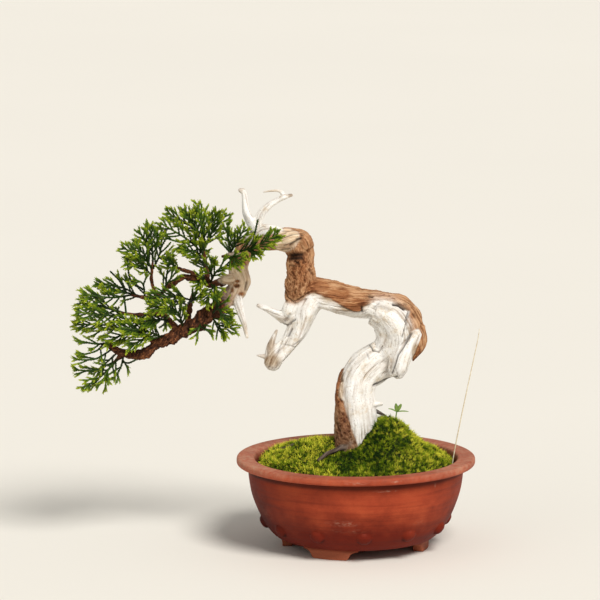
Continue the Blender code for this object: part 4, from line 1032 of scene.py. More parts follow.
LIMBS = {
    "foot": Limb(((356.5, 484, 0, 19), (356.5, 466, 0, 20.5), (356.5, 446, 0, 20.5), (356.5, 424, 0.5, 20),
        (356, 404, 1, 19), (356, 389, 1.5, 18.6), (361, 374, 2.5, 18.6), (373.5, 362, 3.5, 18),
        (388, 352, 4.5, 16.5), (398, 343, 5, 14)), FLUTED, Wood.MIXED),
    "live_foot": Limb(((341, 382, -2, 4), (341.8, 398, -3, 6.6), (343.6, 418, -4, 8.8),
        (346.5, 440, -5, 10.5), (349, 462, -5, 12)), Section(8, 3, 0.08, 0.1), Wood.MIXED),
    "bend": Limb(((380, 360, 4.5, 12), (394, 351, 5, 14), (404, 341, 5, 14.4), (408, 329, 4.5, 14.6),
        (404.6, 316.5, 4, 14.8), (396, 307.5, 3, 13.2), (386, 303.5, 2, 11.5),
        (374, 302.5, 1, 9)), TWISTED, Wood.MIXED),
    "white_block": Limb(((375, 309, 0, 15), (388, 316, 0, 18), (395.5, 329, 1, 19), (393, 343, 2, 18),
        (384, 354, 3, 15)), FLUTED),
    "inner_lobe": Limb(((384, 356, 1, 7), (378, 349, 0, 6.5), (373, 344.5, 0, 3)), JIN),
    "shelf": Limb(((390, 306.5, 2, 13), (374, 305, 1, 14.2), (358, 304, 0.5, 14.6), (342, 300.5, 0, 15.4),
        (327, 295.5, -1, 15), (311, 291.5, -2, 14), (300, 292, -2.5, 11)), TWISTED, Wood.MIXED),
    "column": Limb(((298, 244, -3, 12.5), (300.5, 255, -3, 12.8), (300.5, 266, -3, 13), (300.8, 278, -3, 14),
        (299, 289, -3, 14.4), (296, 297, -3, 11)), FLUTED, Wood.LIVE, blunt=True),
    "arch": Limb(((303, 249, -3, 11.4), (300.5, 241.5, -3, 12.2), (291, 240.6, -2.5, 12.4),
        (278, 240.4, -1, 10.8), (265, 240, 1, 10.4), (252.5, 244.5, 3, 9.8), (243.5, 254, 4, 9.6),
        (239, 267, 3.5, 9.6), (240, 281, 2.5, 10.8), (236, 292, 1, 9.4),
        (229, 299.5, 0, 8.4)), Section(10, 3, 0.09, 0.1), Wood.LIVE),
    "branch": Limb(((238, 288, 1.5, 8.8), (228, 299, 0, 8), (214.5, 310, -1, 7.2), (201, 320, -2, 7),
        (188, 328.5, -3, 6.9), (174, 336.2, -4, 5.8), (160, 343, -5, 5.2), (147, 350.5, -6, 4.8),
        (134, 355, -6.5, 4.6), (123.5, 352.5, -6.5, 4), (114, 347.5, -6.5, 3.4),
        (107.5, 342.5, -6.5, 2.4)), BARKED, Wood.CRUST),
    "stub": Limb(((240, 280, 2.5, 6), (231, 279.5, 0, 5.6), (222.5, 279.5, -2, 4.4)), JIN, Wood.TAN),
    "low_jin": Limb(((236.5, 294, -1, 5), (238.4, 303, -3, 4.8), (241.2, 314, -4, 3.7), (244.6, 326, -5, 2.8),
        (247.2, 337.5, -6, 1.8)), JIN, Wood.DEAD),
    "jin_foot": Limb(((250, 241, 1, 6), (262, 231.5, -1, 6.5), (275, 232, -2, 6), (286, 236, -3, 4)), JIN),
    "left_jin": Limb(((259, 233, -1, 5.5), (251.5, 223, 0, 4.8), (246.6, 213, 1, 4.1), (245.2, 202, 2, 3.3),
        (244.6, 194.5, 2.5, 3.3), (243, 191.2, 2.5, 3.2), (240.8, 190.8, 2.5, 2.6)), JIN, blunt=True),
    "right_jin": Limb(((257.5, 230, -1, 5), (258.4, 221, 0, 4.4), (263.2, 212, 0, 4), (270.5, 205.2, 0, 3.5),
        (278.5, 200.4, 0, 3), (284, 197.6, -0.5, 3.5), (288, 196.6, -0.5, 2.4),
        (291.4, 196, -1, 1.9)), JIN, blunt=True),
    "jin_fork": Limb(((284.5, 197.5, -0.5, 2.8), (282.4, 193.8, -0.5, 2.2), (278.5, 191.8, -0.5, 1.5),
        (271.5, 191.6, 0, 1.2), (263, 193, 0.5, 0.9)), TWIG),
    "hanging_wood": Limb(((318, 295, -2, 12), (308, 304, -3, 13), (302, 318, -3.5, 12), (297, 331, -4, 10.4),
        (288, 345, -4, 8.6), (277.5, 355, -4, 9.4), (273.2, 362, -4, 8.8)), TWISTED, blunt=True),
    "left_spur": Limb(((304, 311, -3, 9), (296, 316.5, -3, 9), (288, 318.5, -3.5, 7.4), (279, 315, -3.5, 5.6),
        (268, 309.4, -3, 3.8), (257.6, 305.3, -3, 2.2)), JIN),
    "shoulder": Limb(((308, 298, -3, 9), (298, 303.5, -3, 10), (291.5, 310, -3, 10),
        (290, 317, -3, 7.5)), JIN, blunt=True),
    "heel": Limb(((362, 385, 1, 7), (376, 377.5, 1, 7.4), (387, 372.2, 0, 7.4),
        (396.5, 370, -1.5, 6.6)), JIN, blunt=True),
    "horn": Limb(((271.5, 362, -4, 6), (269.8, 351, -4, 4.4), (272.4, 340.5, -4, 3),
        (276.8, 330, -4, 1.4)), JIN),
    "spike": Limb(((272, 358, -4, 3.6), (264, 356.2, -4, 2.4), (256.6, 355.2, -4, 0.8)), JIN),
    "hanging_jin": Limb(((418.5, 332, -1, 4), (414, 338, -3.5, 6.4), (407, 349, -5.5, 8.8),
        (400.6, 361, -6.8, 10), (398, 369, -7, 9.4), (397.4, 375, -7, 7)), Section(9, 3, 0.1, 0.1)),
    "live_tip": Limb(((417, 327, 4, 8), (420, 339, 3, 7), (418.5, 349, 2, 5),
        (413, 360.5, 1, 1)), JIN, Wood.LIVE),
    "surface_root": Limb(((352, 441, -7, 6), (344.5, 447, -9, 3.6), (338, 449, -11, 2.5),
        (332, 451.3, -13.5, 2.2), (326.5, 454, -18.5, 2.1), (321.5, 457.8, -22, 1.9),
        (318, 460.5, -24, 1.8)), TWIG, Wood.EARTH),
    "fine_root": Limb(((266, 451, 23.3, 1), (275, 449.6, 10.6, 1.4), (284, 448, 2.9, 1.6),
        (291, 445.4, 2.2, 1.7), (300, 442, 4.3, 1.6), (312, 439.4, 7.7, 1.2)), TWIG, Wood.EARTH),
    "twig_stub": Limb(((368, 404.5, -2, 4), (376, 404, -2, 2.8), (382.4, 403.4, -2, 1.9)), TWIG),
    "dark_spur": Limb(((370, 408, 4, 3), (379, 412, 3, 1.9), (386, 415.5, 2, 1.3)), TWIG, Wood.EARTH),
    **{name: Limb(route, TWIG, Wood.CRUST) for name, route in BARK_TWIGS.items()},
}

# Where live bark shows in the front view
HEAD_ROUND = ((270, 212), (330, 212), (335, 262), (440, 270), (440, 350), (412, 372))
VEIN_FRONT = (
    ((322, 368), (342, 369), (341, 380), (338.5, 390), (337.8, 397), (343, 401), (346, 412), (351, 428),
     (358, 446), (362, 475), (322, 475)),
    ((404, 352), (403, 340), (406.5, 329), (407.6, 321), (409.6, 314), (410.4, 311.2), (404, 308.2),
     (394, 303.4), (386, 300.2), (378, 300.4), (369, 304), (361.8, 308), (362, 312.4), (353, 312),
     (344, 308), (337, 303), (330, 299), (325, 297.5), (315, 293), (309, 294.5), (303, 299),
     (298, 302.6), (292, 303), (287, 300.5), (283, 296), (270, 288), *HEAD_ROUND),
)
VEIN_BACK = (
    ((322, 360), (346, 367), (354, 357), (366, 347), (378, 341), (390, 334), (396, 326), (412, 330),
     (408, 345), (398, 356), (386, 364), (374, 372), (364, 383), (358, 397), (360, 412), (361, 428),
     (364, 446), (367, 475), (322, 475)),
    ((392, 358), (395, 346), (398, 334), (399, 322), (400, 314), (396, 309), (386, 306), (374, 307),
     (362, 311), (350, 311), (338, 306), (326, 301), (315, 298), (309, 299), (303, 303),
     (298, 305), (292, 306), (287, 303), (280, 297), (270, 290), *HEAD_ROUND),
)
KNOB = ((224, 262), (236, 268), (262, 262), (264, 300), (246, 308), (226, 306), (219, 290))
HEAD_SCAR = ((276, 231), (290, 229), (299, 234), (299, 241), (294, 249), (284, 253), (276, 250))


@dataclass(frozen=True)
class Pit:
    """A pit or crack in the front of the wood, darkened with painted shade: its two ends, its half-width in
    steps, its depth and how dark.
    """

    start: Point
    end: Point
    wide: float
    depth: float
    dark: float = 0.9


PITS = [
    Pit(row[:2], row[2:4], *row[4:])
    for row in (
        (290, 256.5, 303, 256, 2.5, 1.6, 1), (290, 259.4, 302.5, 259, 2.4, 0.8, 1),
        (187, 326, 190.5, 332, 2.6, 2.2, 1), (197, 316, 198, 323, 2.2, 1.6, 1),
        (204, 314, 208, 318, 1.4, 1, 0.8), (179, 335, 183, 338, 1.4, 1, 0.8),
        (168, 340, 171, 345, 1.2, 0.9, 0.8), (157, 345, 159, 349, 1.2, 0.8, 0.8),
        (211, 306, 214, 311, 1.3, 0.9, 0.7), (294, 262, 298, 263.5, 1.2, 0.7, 0.8),
        (302, 259, 305, 264, 1, 0.5, 0.6), (280, 240, 292, 235.6, 0.6, 0.35, 0.75),
        (292, 235.5, 306, 234, 0.5, 0.3, 0.6), (283, 231.4, 301, 231.6, 0.5, 0.3, 0.5),
        (290, 246, 298, 241, 1.3, 0.6, 0.85), (297, 240.6, 301, 239.2, 1.5, 0.8, 1),
        (301.4, 235.8, 302.4, 236.6, 1, 0.5, 0.85), (284, 246.5, 292, 244, 0.6, 0.35, 0.6),
        (278, 236.6, 286, 234, 0.5, 0.3, 0.6), (282, 250, 290, 249, 0.6, 0.35, 0.6),
        (305, 240, 309, 248, 0.5, 0.3, 0.5), (283.8, 299, 280.6, 309.5, 0.8, 0.7, 1),
        (285, 290, 287.5, 297.5, 0.6, 0.4, 0.7), (287.5, 297.5, 293, 302, 0.6, 0.5, 0.8),
        (293, 302, 300, 299.5, 0.6, 0.5, 0.8), (300, 299.5, 309, 292.8, 0.6, 0.5, 0.8),
        (309, 292.8, 316, 291.6, 0.6, 0.4, 0.6), (296, 263, 297.2, 264, 1, 0.6, 0.9),
        (290, 266, 302, 267.6, 0.6, 0.4, 0.6), (374, 385.6, 384, 380.8, 0.9, 0.7, 0.9),
        (384, 380.8, 397, 376.6, 0.8, 0.6, 0.9), (282, 323.5, 288, 325.4, 0.7, 0.5, 0.7),
        (288, 325.4, 295, 319.5, 0.7, 0.5, 0.7), (300, 341, 293, 345.6, 0.5, 0.35, 0.5),
        (283, 344, 296, 347.5, 0.5, 0.35, 0.5), (393.5, 304, 399, 305, 1.2, 1.3, 1),
        (399, 305, 404.5, 309.4, 1, 1.2, 1), (408, 312, 406, 324, 0.7, 0.5, 0.8),
        (406, 324, 402, 337, 0.7, 0.5, 0.7), (361.5, 307, 362, 313, 1.1, 0.9),
        (369.5, 296, 372, 296.8, 1.4, 1.1), (408.5, 312.5, 407, 330, 0.7, 0.5, 0.6),
        (411, 333, 405, 343, 0.9, 0.8, 0.8), (405, 343, 397.5, 355, 0.9, 0.8, 0.8),
        (397.5, 355, 391.8, 373.5, 0.8, 0.7, 0.85), (235.6, 286.4, 238.6, 286, 1.2, 0.9, 0.8),
        (247, 283, 246, 290, 1.8, 0.8, 0.7), (258, 274, 262, 280, 1.6, 0.8, 0.7),
        (414, 314.6, 415.5, 317, 1.5, 0.5, 0.55), (404, 304, 406, 305, 1.2, 0.5, 0.5),
        (369.6, 344.5, 373, 350.6, 0.6, 0.6, 0.6), (373, 350.6, 379, 351.4, 0.6, 0.6, 0.6),
        (379, 351.4, 382, 346.2, 0.5, 0.5, 0.5), (366, 352, 369, 359, 0.5, 0.4, 0.4),
        (378, 306, 388, 309, 2.6, 0.6, 0.25), (374, 308, 379, 303, 0.6, 0.4, 0.5),
        (288, 336, 291.5, 329, 0.9, 0.7, 0.8), (290, 315, 285, 322, 1.3, 0.6, 0.4),
        (284, 326, 291, 324, 0.7, 0.5, 0.7), (339.5, 399, 342, 401, 0.8, 0.5, 0.6),
        (354, 428, 356, 446, 0.6, 0.5, 0.5), (282, 341, 277, 353, 0.8, 0.5, 0.4),
        (355, 312.5, 342, 308, 0.6, 0.4, 0.5), (309, 270, 312, 274, 1, 0.5, 0.6),
    )
]


@dataclass(frozen=True)
class StainAndShade:
    """A darker spot in the front of the wood, some from weathering and knots, some painted shade: its middle
    and half-widths, and how dark.
    """

    middle: Point
    reach: Point
    dark: float


# Spots of darker wood: real staining and knots, and painted shade on the column, under the head and the shelf
# and in the white wood.
STAINS_AND_SHADES = [
    StainAndShade(row[:2], row[2:4], row[4])
    for row in (
        (237, 286, 3.2, 2.4, 1.3), (229, 299, 8, 7, 0.35), (300, 272, 12, 19, 0.8), (293, 290, 10, 9, 0.6),
        (297, 258, 12, 6, 1), (308, 243, 7, 9, 0.5), (290, 248, 9, 4, 0.35), (318, 288, 14, 8, 1.25),
        (336, 296, 17, 8, 1.2), (356, 304, 14, 6, 1.1), (366, 299, 8, 4, 0.4), (406, 303, 6, 4, 0.3),
        (412, 316, 3, 3, 0.7), (411, 330, 4, 4, 0.5), (416.5, 353, 5, 10, 1.35), (352, 309, 13, 4, 1.4),
        (339, 385, 5, 26, 1.3), (344, 430, 8, 28, 0.85), (271, 361, 10, 8, 1), (270.5, 346, 5, 12, 0.85),
        (276.5, 332, 3, 4, 0.7), (262, 355.5, 6, 3, 0.6), (284, 320, 7, 3, 0.35), (257.5, 305.6, 4, 3, 0.45),
        (291, 327, 4, 5, 0.3), (344, 312, 16, 3, 0.3), (380, 308, 9, 4, 0.25), (388, 364, 9, 9, 0.22),
        (366, 366, 8, 10, 0.12), (240.4, 191, 3, 3, 0.6), (291, 196.5, 3, 2.5, 0.7), (272, 192, 9, 2, 0.8),
        (244.5, 328, 3, 8, 0.5), (237.6, 281.4, 2.8, 1.9, 1.1), (241.4, 294, 3.6, 2.1, 1.1),
        (232.4, 290.5, 1.8, 2.6, 1),
    )
]


def depth_inside(places: Array, outline: Sequence[Point]) -> Array:
    """How far places lie inside a closed outline.

    Args:
        places: Pairs of steps across and down.
        outline: The outline's corners.

    Returns:
        The distance to the outline, negative outside it.
    """
    corners = np.array(outline, float)
    least = np.full(len(places), np.inf)
    inside = np.zeros(len(places), bool)
    for start, end in zip(corners, np.roll(corners, -1, axis=0)):
        side = end - start
        t = np.clip((places - start) @ side / (side @ side), 0, 1)
        least = np.minimum(least, norm(places - start - t[:, None] * side, axis=1))
        spans = (start[1] > places[:, 1]) != (end[1] > places[:, 1])
        drop = side[1] if side[1] else 1e-9
        inside ^= spans & (places[:, 0] < start[0] + (places[:, 1] - start[1]) * side[0] / drop)
    return np.where(inside, least, -least)


class GrainField:
    """Which limb each point of the wood belongs to, and where on it the point lies."""

    def __init__(self, limbs: Sequence[Limb], spacing: float = 0.8, shift: float = 61.7) -> None:
        """Samples every limb.

        Args:
            limbs: The limbs.
            spacing: How far apart the samples are.
            shift: How far one limb's grain is from the next one's.
        """
        self.limbs = limbs
        parts = []
        for index, limb in enumerate(limbs):
            own = limb.rows(spacing)
            ahead, side, rise = frames_along(own[:, :3])
            along = length_along(own[:, :3])
            twist = limb.section.turn * along / max(1, limb.section.ridges)
            cos, sin = np.cos(twist)[:, None], np.sin(twist)[:, None]
            turned = side * cos - rise * sin, side * sin + rise * cos
            parts.append((own, ahead, *turned, along + index * shift))
        rows, ways, across, up, run = zip(*parts)
        self.rows, self.ways, self.across, self.up = map(np.vstack, (rows, ways, across, up))
        self.run = np.concatenate(run)
        self.starts = np.cumsum([0, *map(len, rows[:-1])])

    def nearness(self, points: Array) -> tuple[Array, Array]:
        """How near points are to each limb's axis, as a share of its radius.

        Args:
            points: The points.

        Returns:
            The nearest sample of all, and the least share limb by limb.
        """
        centres, radii = self.rows[:, :3], self.rows[:, 3]
        nearest = np.empty(len(points), int)
        shares = np.empty((len(points), len(self.limbs)))
        for start in range(0, len(points), 4000):
            own = points[start : start + 4000]
            square = (own**2).sum(axis=1)[:, None] + (centres**2).sum(axis=1) - 2 * own @ centres.T
            share = np.sqrt(np.maximum(square, 0)) / radii
            nearest[start : start + 4000] = share.argmin(axis=1)
            shares[start : start + 4000] = np.minimum.reduceat(share, self.starts, axis=1)
        return nearest, shares

    def coordinates(self, points: Array, samples: Array) -> Array:
        """Where points lie on their limbs.

        Args:
            points: The points.
            samples: The sample nearest to each.

        Returns:
            How far along the run, across it and up, in millimetres.
        """
        out = points - self.rows[samples, :3]
        parts = [(out * way[samples]).sum(axis=1) for way in (self.ways, self.across, self.up)]
        parts[0] = parts[0] + self.run[samples]
        return np.column_stack(parts)


@dataclass
class Trunk:
    """The whole of the wood: limbs merged, then carved along their grain and marked for its finish."""

    finish: Material
    voxel: float = 0.42
    ring_spacing: float = 1.0
    vein_swell: float = 0.45
    flute: float = 0.42
    fibre: float = 0.21
    crack: float = 0.7
    gnarl: float = 0.55
    bark: float = 1.2
    lump: float = 1.7
    wrinkle: float = 0.42
    most_triangles: int = 196_000
    field: GrainField = field(default_factory=lambda: GrainField(list(LIMBS.values())))

    def build(self) -> None:
        """Merges the limbs into one skin and carves it."""
        shell = Shell()
        for limb in LIMBS.values():
            shell.add_rings(limb.rings(self.ring_spacing))
        trunk = shell.built("trunk_wood")
        modify(trunk, "REMESH", mode="VOXEL", voxel_size=self.voxel * MM, use_smooth_shade=True)
        modify(trunk, "SMOOTH", factor=0.5, iterations=2)
        plain_mesh(trunk)
        trunk.data.shade_smooth()
        self.carve(trunk)
        modify(trunk, "DECIMATE", ratio=min(1.0, self.most_triangles / triangles(trunk)))
        plain_mesh(trunk)
        trunk.data.shade_smooth()
        trunk.data.materials.clear()
        settle(trunk, self.finish, "juniper_wood", "trunk")

    def carve(self, trunk: Object) -> None:
        """Cuts grain, cracks and bark into the skin, and marks what each part of it is.

        Args:
            trunk: The merged wood.
        """
        points, ways = surface_of(trunk)
        samples, shares = self.field.nearness(points)
        grain = self.field.coordinates(points, samples)
        radius = self.field.rows[samples, 3]
        places = front_view(points)
        zones = self.zones(shares, places, ways, points)
        vein_depth = zones.pop("vein_depth")
        slack = np.minimum(1.0, radius / 5.0)
        long = grain * (0.11, 1, 1)
        flutes = ridged(long * 0.27)
        fibres = ridged(long * (0.8, 1, 1) * 1.1 + 11)
        slits = eased(perlin(long * (0.6, 1, 1) * 0.62 + 31), 0.34, 0.50)
        gnarls = perlin(grain * (0.28, 0.42, 0.42) + 17)
        wrinkles = ridged(grain * (0.52, 0.58, 0.58) + perlin(grain * 0.4 + 61)[:, None] * 0.6 + 51)
        flakes = perlin(grain * (0.35, 0.8, 0.8) + 5) + 0.5 * perlin(grain * (0.9, 1.9, 1.9) + 9)
        lumps = perlin(grain * (0.21, 0.25, 0.25) + 41)
        wave = perlin(points * 0.16 + 3)
        smooth_wood = 1 - zones["crust"]
        live = zones["live"] * smooth_wood
        dead = smooth_wood * (1 - zones["live"]) * (1 - zones["earth"])
        rough = live * zones["rough"]
        furrows = self.flute * (flutes + 0.35) + self.fibre * (fibres + 0.4) - self.crack * slits
        lift = dead * slack * furrows
        lift += live * slack * (1 - 0.75 * rough) * 0.5 * self.flute * (flutes + 0.3)
        lift += live * slack * self.fibre * (1.5 - 1.3 * rough) * (fibres + 0.4)
        lift += live * slack * self.gnarl * gnarls
        lift += (0.25 * live + 0.75 * rough) * slack * self.wrinkle * (wrinkles + 0.35)
        lift += dead * slack * 0.12 * (ridged(points * 0.9) + 0.4)
        bark = self.bark * (np.abs(flakes) - 0.22) + self.lump * lumps
        lift += zones["crust"] * np.minimum(1.0, radius / 2.6) * bark
        lift += smooth_wood * slack * 0.45 * wave
        swell = eased(vein_depth, -0.7, 1.6) * self.vein_swell
        lift += np.where(vein_depth > -9, swell - self.vein_swell * 0.4, 0.0)
        # The pits sink the surface, and their darkness is painted shade.
        pit, dark = self.pits(places, ways)
        lift -= pit * np.minimum(1.0, radius / 3.0)
        # The live vein's edge sinks a little and gets a line of painted shade.
        edge = np.where(vein_depth > -9, np.exp(-(((vein_depth + 0.3) / 0.55) ** 2)), 0.0)
        lift -= edge * 0.18
        # Painted shade in the fibres, flutes, cracks, gnarls and wrinkles, and along the vein's edge.
        groove_shade = eased(fibres, -0.6, -1.1) * (0.3 * dead + (0.9 - 0.85 * rough) * live)
        groove_shade += eased(flutes, -0.7, -1.2) * 0.25 * dead + 0.5 * slits * dead + 0.6 * edge
        groove_shade += live * eased(gnarls, -0.15, -0.6) * 0.4
        groove_shade += (0.2 * live + 0.8 * rough) * eased(wrinkles, -0.4, -0.95)
        # Painted shade between the bark's flakes and lumps.
        gap = zones["crust"] * (eased(np.abs(flakes), 0.16, 0.02) * 0.6 + eased(lumps, -0.1, -0.5) * 0.5)
        zones["groove_shade"] = np.clip(groove_shade, 0, 1)
        zones["hollow_shade"] = np.clip(np.maximum(dark, gap), 0, 1)
        zones["stain_and_shade"] = self.stains_and_shades(places)
        move_vertices(trunk, points + ways * lift[:, None])
        mark(trunk, "grain", grain)
        for name, values in zones.items():
            mark(trunk, name, values)

    def zones(
        self, shares: Array, places: Array, ways: Array, points: Array
    ) -> dict[str, Array]:
        """How much of each vertex is live bark, crust, cut wood or root.

        Args:
            shares: How near the vertices are to each limb.
            places: Where they show in the front view.
            ways: The way that they face.
            points: The vertices.

        Returns:
            The marks live, crust, tan and earth, how rough the bark is and how deep it lies in the vein.
        """
        weights = np.exp(-(shares - shares.min(axis=1)[:, None]) / 0.07)
        weights /= weights.sum(axis=1)[:, None]
        part = {kind: np.zeros(len(points)) for kind in Wood}
        for index, limb in enumerate(self.field.limbs):
            part[limb.wood] += weights[:, index]
        ragged = perlin(points * (0.25, 0.25, 0.12)) * 1.8 + perlin(points * 0.9) * 0.7
        front = np.max([depth_inside(places, outline) for outline in VEIN_FRONT], axis=0)
        back = np.max([depth_inside(places, outline) for outline in VEIN_BACK], axis=0)
        behind = eased(ways[:, 1], -0.15, 0.35)
        depth = front * (1 - behind) + back * behind + ragged * 0.45
        vein = eased(depth, -0.4, 0.4)
        live = part[Wood.LIVE] + part[Wood.MIXED] * vein
        scar = eased(depth_inside(places, HEAD_SCAR) + ragged * 0.5, -1.2, 1.2) * eased(ways[:, 1], 0.3, -0.1)
        knob = eased(depth_inside(places, KNOB) + ragged * 0.5, -2.0, 2.0) * part[Wood.LIVE]
        tan = np.clip(part[Wood.TAN] + np.maximum(scar * part[Wood.LIVE], knob), 0, 1)
        live = live * (1 - np.maximum(scar, knob))
        near = eased(places[:, 0], 224, 234)
        tan = np.clip(tan + part[Wood.CRUST] * near * 0.7, 0, 1)
        crust = np.clip(part[Wood.CRUST] * (1 - near * 0.7) + 0.10 * knob, 0, 1)
        low_darkening = eased(places[:, 1], 388, 436) * 0.42 * live
        coarse = eased(places[:, 0], 322, 308) * (0.6 + 0.4 * eased(places[:, 1], 252, 262))
        coarse = coarse + eased(places[:, 1], 372, 392)
        return {
            "live": np.clip(live, 0, 1),
            "rough": np.clip(coarse, 0, 1),
            "crust": crust,
            "tan": tan,
            "earth": np.clip(part[Wood.EARTH] + low_darkening, 0, 1),
            "vein_depth": np.where(part[Wood.MIXED] > 0.5, depth, -99.0),
        }

    def stains_and_shades(self, places: Array) -> Array:
        """How darkened the wood is: stained in places, and given painted shade in others.

        Args:
            places: Where its vertices show in the front view.

        Returns:
            The darkening at each.
        """
        found = np.zeros(len(places))
        for stain_and_shade in STAINS_AND_SHADES:
            away = (places - stain_and_shade.middle) / stain_and_shade.reach
            found = np.maximum(found, stain_and_shade.dark * eased(np.hypot(away[:, 0], away[:, 1]), 1.35, 0.45))
        return found

    def pits(self, places: Array, ways: Array) -> tuple[Array, Array]:
        """How deep the hollows and cracks go at each vertex, and how much painted shade darkens them.

        Args:
            places: Where the vertices show in the front view.
            ways: The way that they face.

        Returns:
            The depth in millimetres, and the painted shade.
        """
        deep, dark = np.zeros(len(places)), np.zeros(len(places))
        facing = eased(ways[:, 1], 0.25, -0.1)
        for pit in PITS:
            start, side = np.array(pit.start), np.array(pit.end) - np.array(pit.start)
            t = np.clip((places - start) @ side / (side @ side), 0, 1)
            away = norm(places - start - t[:, None] * side, axis=1)
            near = np.exp(-((away / pit.wide) ** 2)) * facing
            deep = np.maximum(deep, near * pit.depth)
            dark = np.maximum(dark, near * pit.dark)
        return deep, dark


# Foliage


# Each arm of a bunch: how many side shoots it has, then its root, bend and tip, each as across, down, depth
BUNCHES = {
    "top_left": [(6, 202, 243, 2.5, 195, 227, -3, 185, 211, -6), (5, 197, 231, -1, 184, 222, 1, 168, 214, 0)],
    "top_middle": [(6, 203, 248.5, 2, 204, 234, -7, 198, 206, -8)],
    "top_right": [(7, 203, 250, 2, 211, 235, 2, 217, 213, 0), (3, 207, 238, 2, 216, 228, 5, 226, 214, 8)],
    "top_back": [(6, 203, 250, 2, 199, 237, 11, 194, 211, 19)],
    "top_low": [(6, 204, 255, 2, 189, 241, -5, 162, 225, -14), (1, 191, 243, -4, 180, 243, -8, 166, 239, -9)],
    "arm_tip": [(9, 235, 253, -1, 254, 248, -10, 278, 236, -14),
        (0, 254, 248, -10, 254, 240, -11, 258, 222, -12), (3, 248, 250, -8, 254, 254, -13, 259, 256, -16)],
    "arm_up": [(4, 230, 254, -2, 237, 243, -8, 245, 229, -11),
        (2, 233, 248, -5, 228, 238, -9, 228, 225, -11)],
    "arm_back": [(5, 230, 254.5, -2, 229, 246, 9, 233, 233, 16)],
    "arm_under": [(5, 224, 257, -3, 232, 259, -10, 243, 263, -15)],
    "middle_left": [(6, 205, 260, 1, 197, 253, -5, 183, 250, -9),
        (2, 199, 255, -3, 204, 249, -8, 208, 243, -10)],
    "middle_tip": [(4, 178, 268, -4.5, 172, 264, -7, 167, 258, -8)],
    "middle_right": [(4, 210, 283, -1, 218, 271, -8, 234, 264, -8),
        (3, 213, 278, -4, 211, 270, -9, 213, 260, -13)],
    "middle_front": [(7, 207, 283, -1, 203, 281, -11, 197, 287, -18)],
    "middle_down": [(1, 210, 282.5, -1, 215, 289, -6, 221, 295, -8),
        (4, 215, 285, -3, 210, 293, -6, 206, 304, -7)],
    "middle_back": [(5, 205, 270, 1, 202, 262, 12, 197, 258, 20)],
    "right_up": [(4, 213, 313, -5, 219, 305, -9, 215, 295, -11),
        (3, 217, 308, -8, 222, 314, -11, 228, 321, -13)],
    "right_low": [(4, 210, 314, -1, 219, 325, -7, 236, 329, -10),
        (2, 215, 322, -5, 219, 330, -8, 224, 337, -10)],
    "right_drop": [(2, 201, 321, -2, 199, 329, -7, 196, 336, -8),
        (1, 200, 326, -5, 206, 330, -8, 212, 333, -9)],
    "right_back": [(5, 208, 315, -1, 218, 312, 9, 228, 308, 16)],
    "shelf_upper": [(7, 191, 300, 2, 177, 297, -6, 150, 297, -9),
        (4, 188, 303, 1, 195, 299, -7, 203, 294, -9)],
    "shelf_lower": [(10, 184, 329, -3, 176, 311, -13, 151, 307, -17)],
    "shelf_back": [(5, 190, 306, 2, 178, 301, 12, 162, 299, 19)],
    "inner_front": [(8, 170, 321, -3, 160, 320, -12, 144, 324, -17)],
    "low_long": [(10, 166, 339, -4.5, 148, 332, -13, 121, 328, -17),
        (4, 152, 334, -11, 141, 341, -15, 130, 347, -17)],
    "low_bright": [(5, 141, 334, -5, 124, 335, -9, 107, 342, -12)],
    "inner_left": [(5, 147, 314.6, -3, 136, 321, -10, 119, 321, -13)],
    "inner_back": [(6, 170, 320, -3, 158, 319, 8, 142, 322, 15)],
    "left_top": [(6, 138, 296, 0, 123, 288, -1, 97, 284, -6), (0, 124, 287, -1, 119, 280, 1, 111, 272, 1)],
    "left_top_back": [(4, 143, 297, 0, 126, 292, 9, 106, 286, 15)],
    "left_upper": [(6, 131, 295, 0, 112, 298, -9, 84, 295, -13),
        (0, 124, 297, -4, 125.5, 305, -7, 126.5, 314, -8)],
    "left_middle": [(5, 121, 313, -2, 102, 306, -2, 80, 303, -2)],
    "left_front": [(7, 129, 314, -2, 109, 316, -13, 78, 313, -16)],
    "left_middle_back": [(3, 128, 314, -2, 112, 309, 9, 90, 305, 15)],
    "left_lower": [(6, 126, 329.5, -5, 104, 325, -7, 75, 325, -9)],
    "left_lower_back": [(3, 130, 330, -5, 113, 329, 7, 86, 331, 11)],
    "high_left": [(6, 153, 269, 0, 142, 257, -5, 124, 249, -8)],
    "high_top": [(6, 153, 262, 0, 152, 244, 1, 150, 226, 2), (3, 152, 250, 0, 145, 240, -2, 139, 231, -3)],
    "high_right": [(5, 153, 269, 0, 160, 253, 5, 162, 229, 7), (2, 158, 257, 4, 165, 260, 5, 172, 259, 5)],
    "high_back": [(5, 152, 270, 0, 144, 254, 11, 132, 243, 17)],
    "high_low": [(4, 152, 275, 0, 141, 267, -6, 128, 265, -9), (3, 147, 270, -3, 138, 261, -2, 127, 257, -1)],
    "high_thin": [(2, 161, 293, 0, 168, 283, -6, 177, 272, -9), (2, 166, 286, -4, 167, 274, -1, 170, 262, 1)],
    "high_side": [(2, 145, 297, 0, 143, 284, -5, 134, 280, -8),
        (0, 144, 290, -3, 131, 280, -5, 127.5, 258, -6)],
    "drop_upper": [(2, 108, 343, -6.5, 96, 344, -9, 79, 341, -11),
        (1, 104, 343, -7, 97, 351, -12, 80, 356, -15)],
    "drop_side": [(2, 114, 348, -6.5, 96, 359, -12, 75, 360, -14)],
    "drop_long": [(2, 114, 362, -7, 95, 370, -7, 75, 370, -7), (2, 104, 367, -7, 99, 378, -11, 83, 388, -12)],
    "drop_low": [(2, 119, 358, -7, 107, 370, -1, 88, 388, -1), (1, 107, 371, -2, 106, 378, -7, 97, 387, -8)],
    "drop_front": [(2, 119, 358, -7, 109, 370, -14, 103, 382, -17)],
    "drop_right": [(2, 124, 354, -6.5, 121, 367, -9, 114, 379, -11),
        (0, 122, 362, -8, 129, 363, -10, 136, 360, -11)],
    "drop_back": [(2, 119, 351, -6.5, 106, 362, 4, 92, 374, 10)],
}


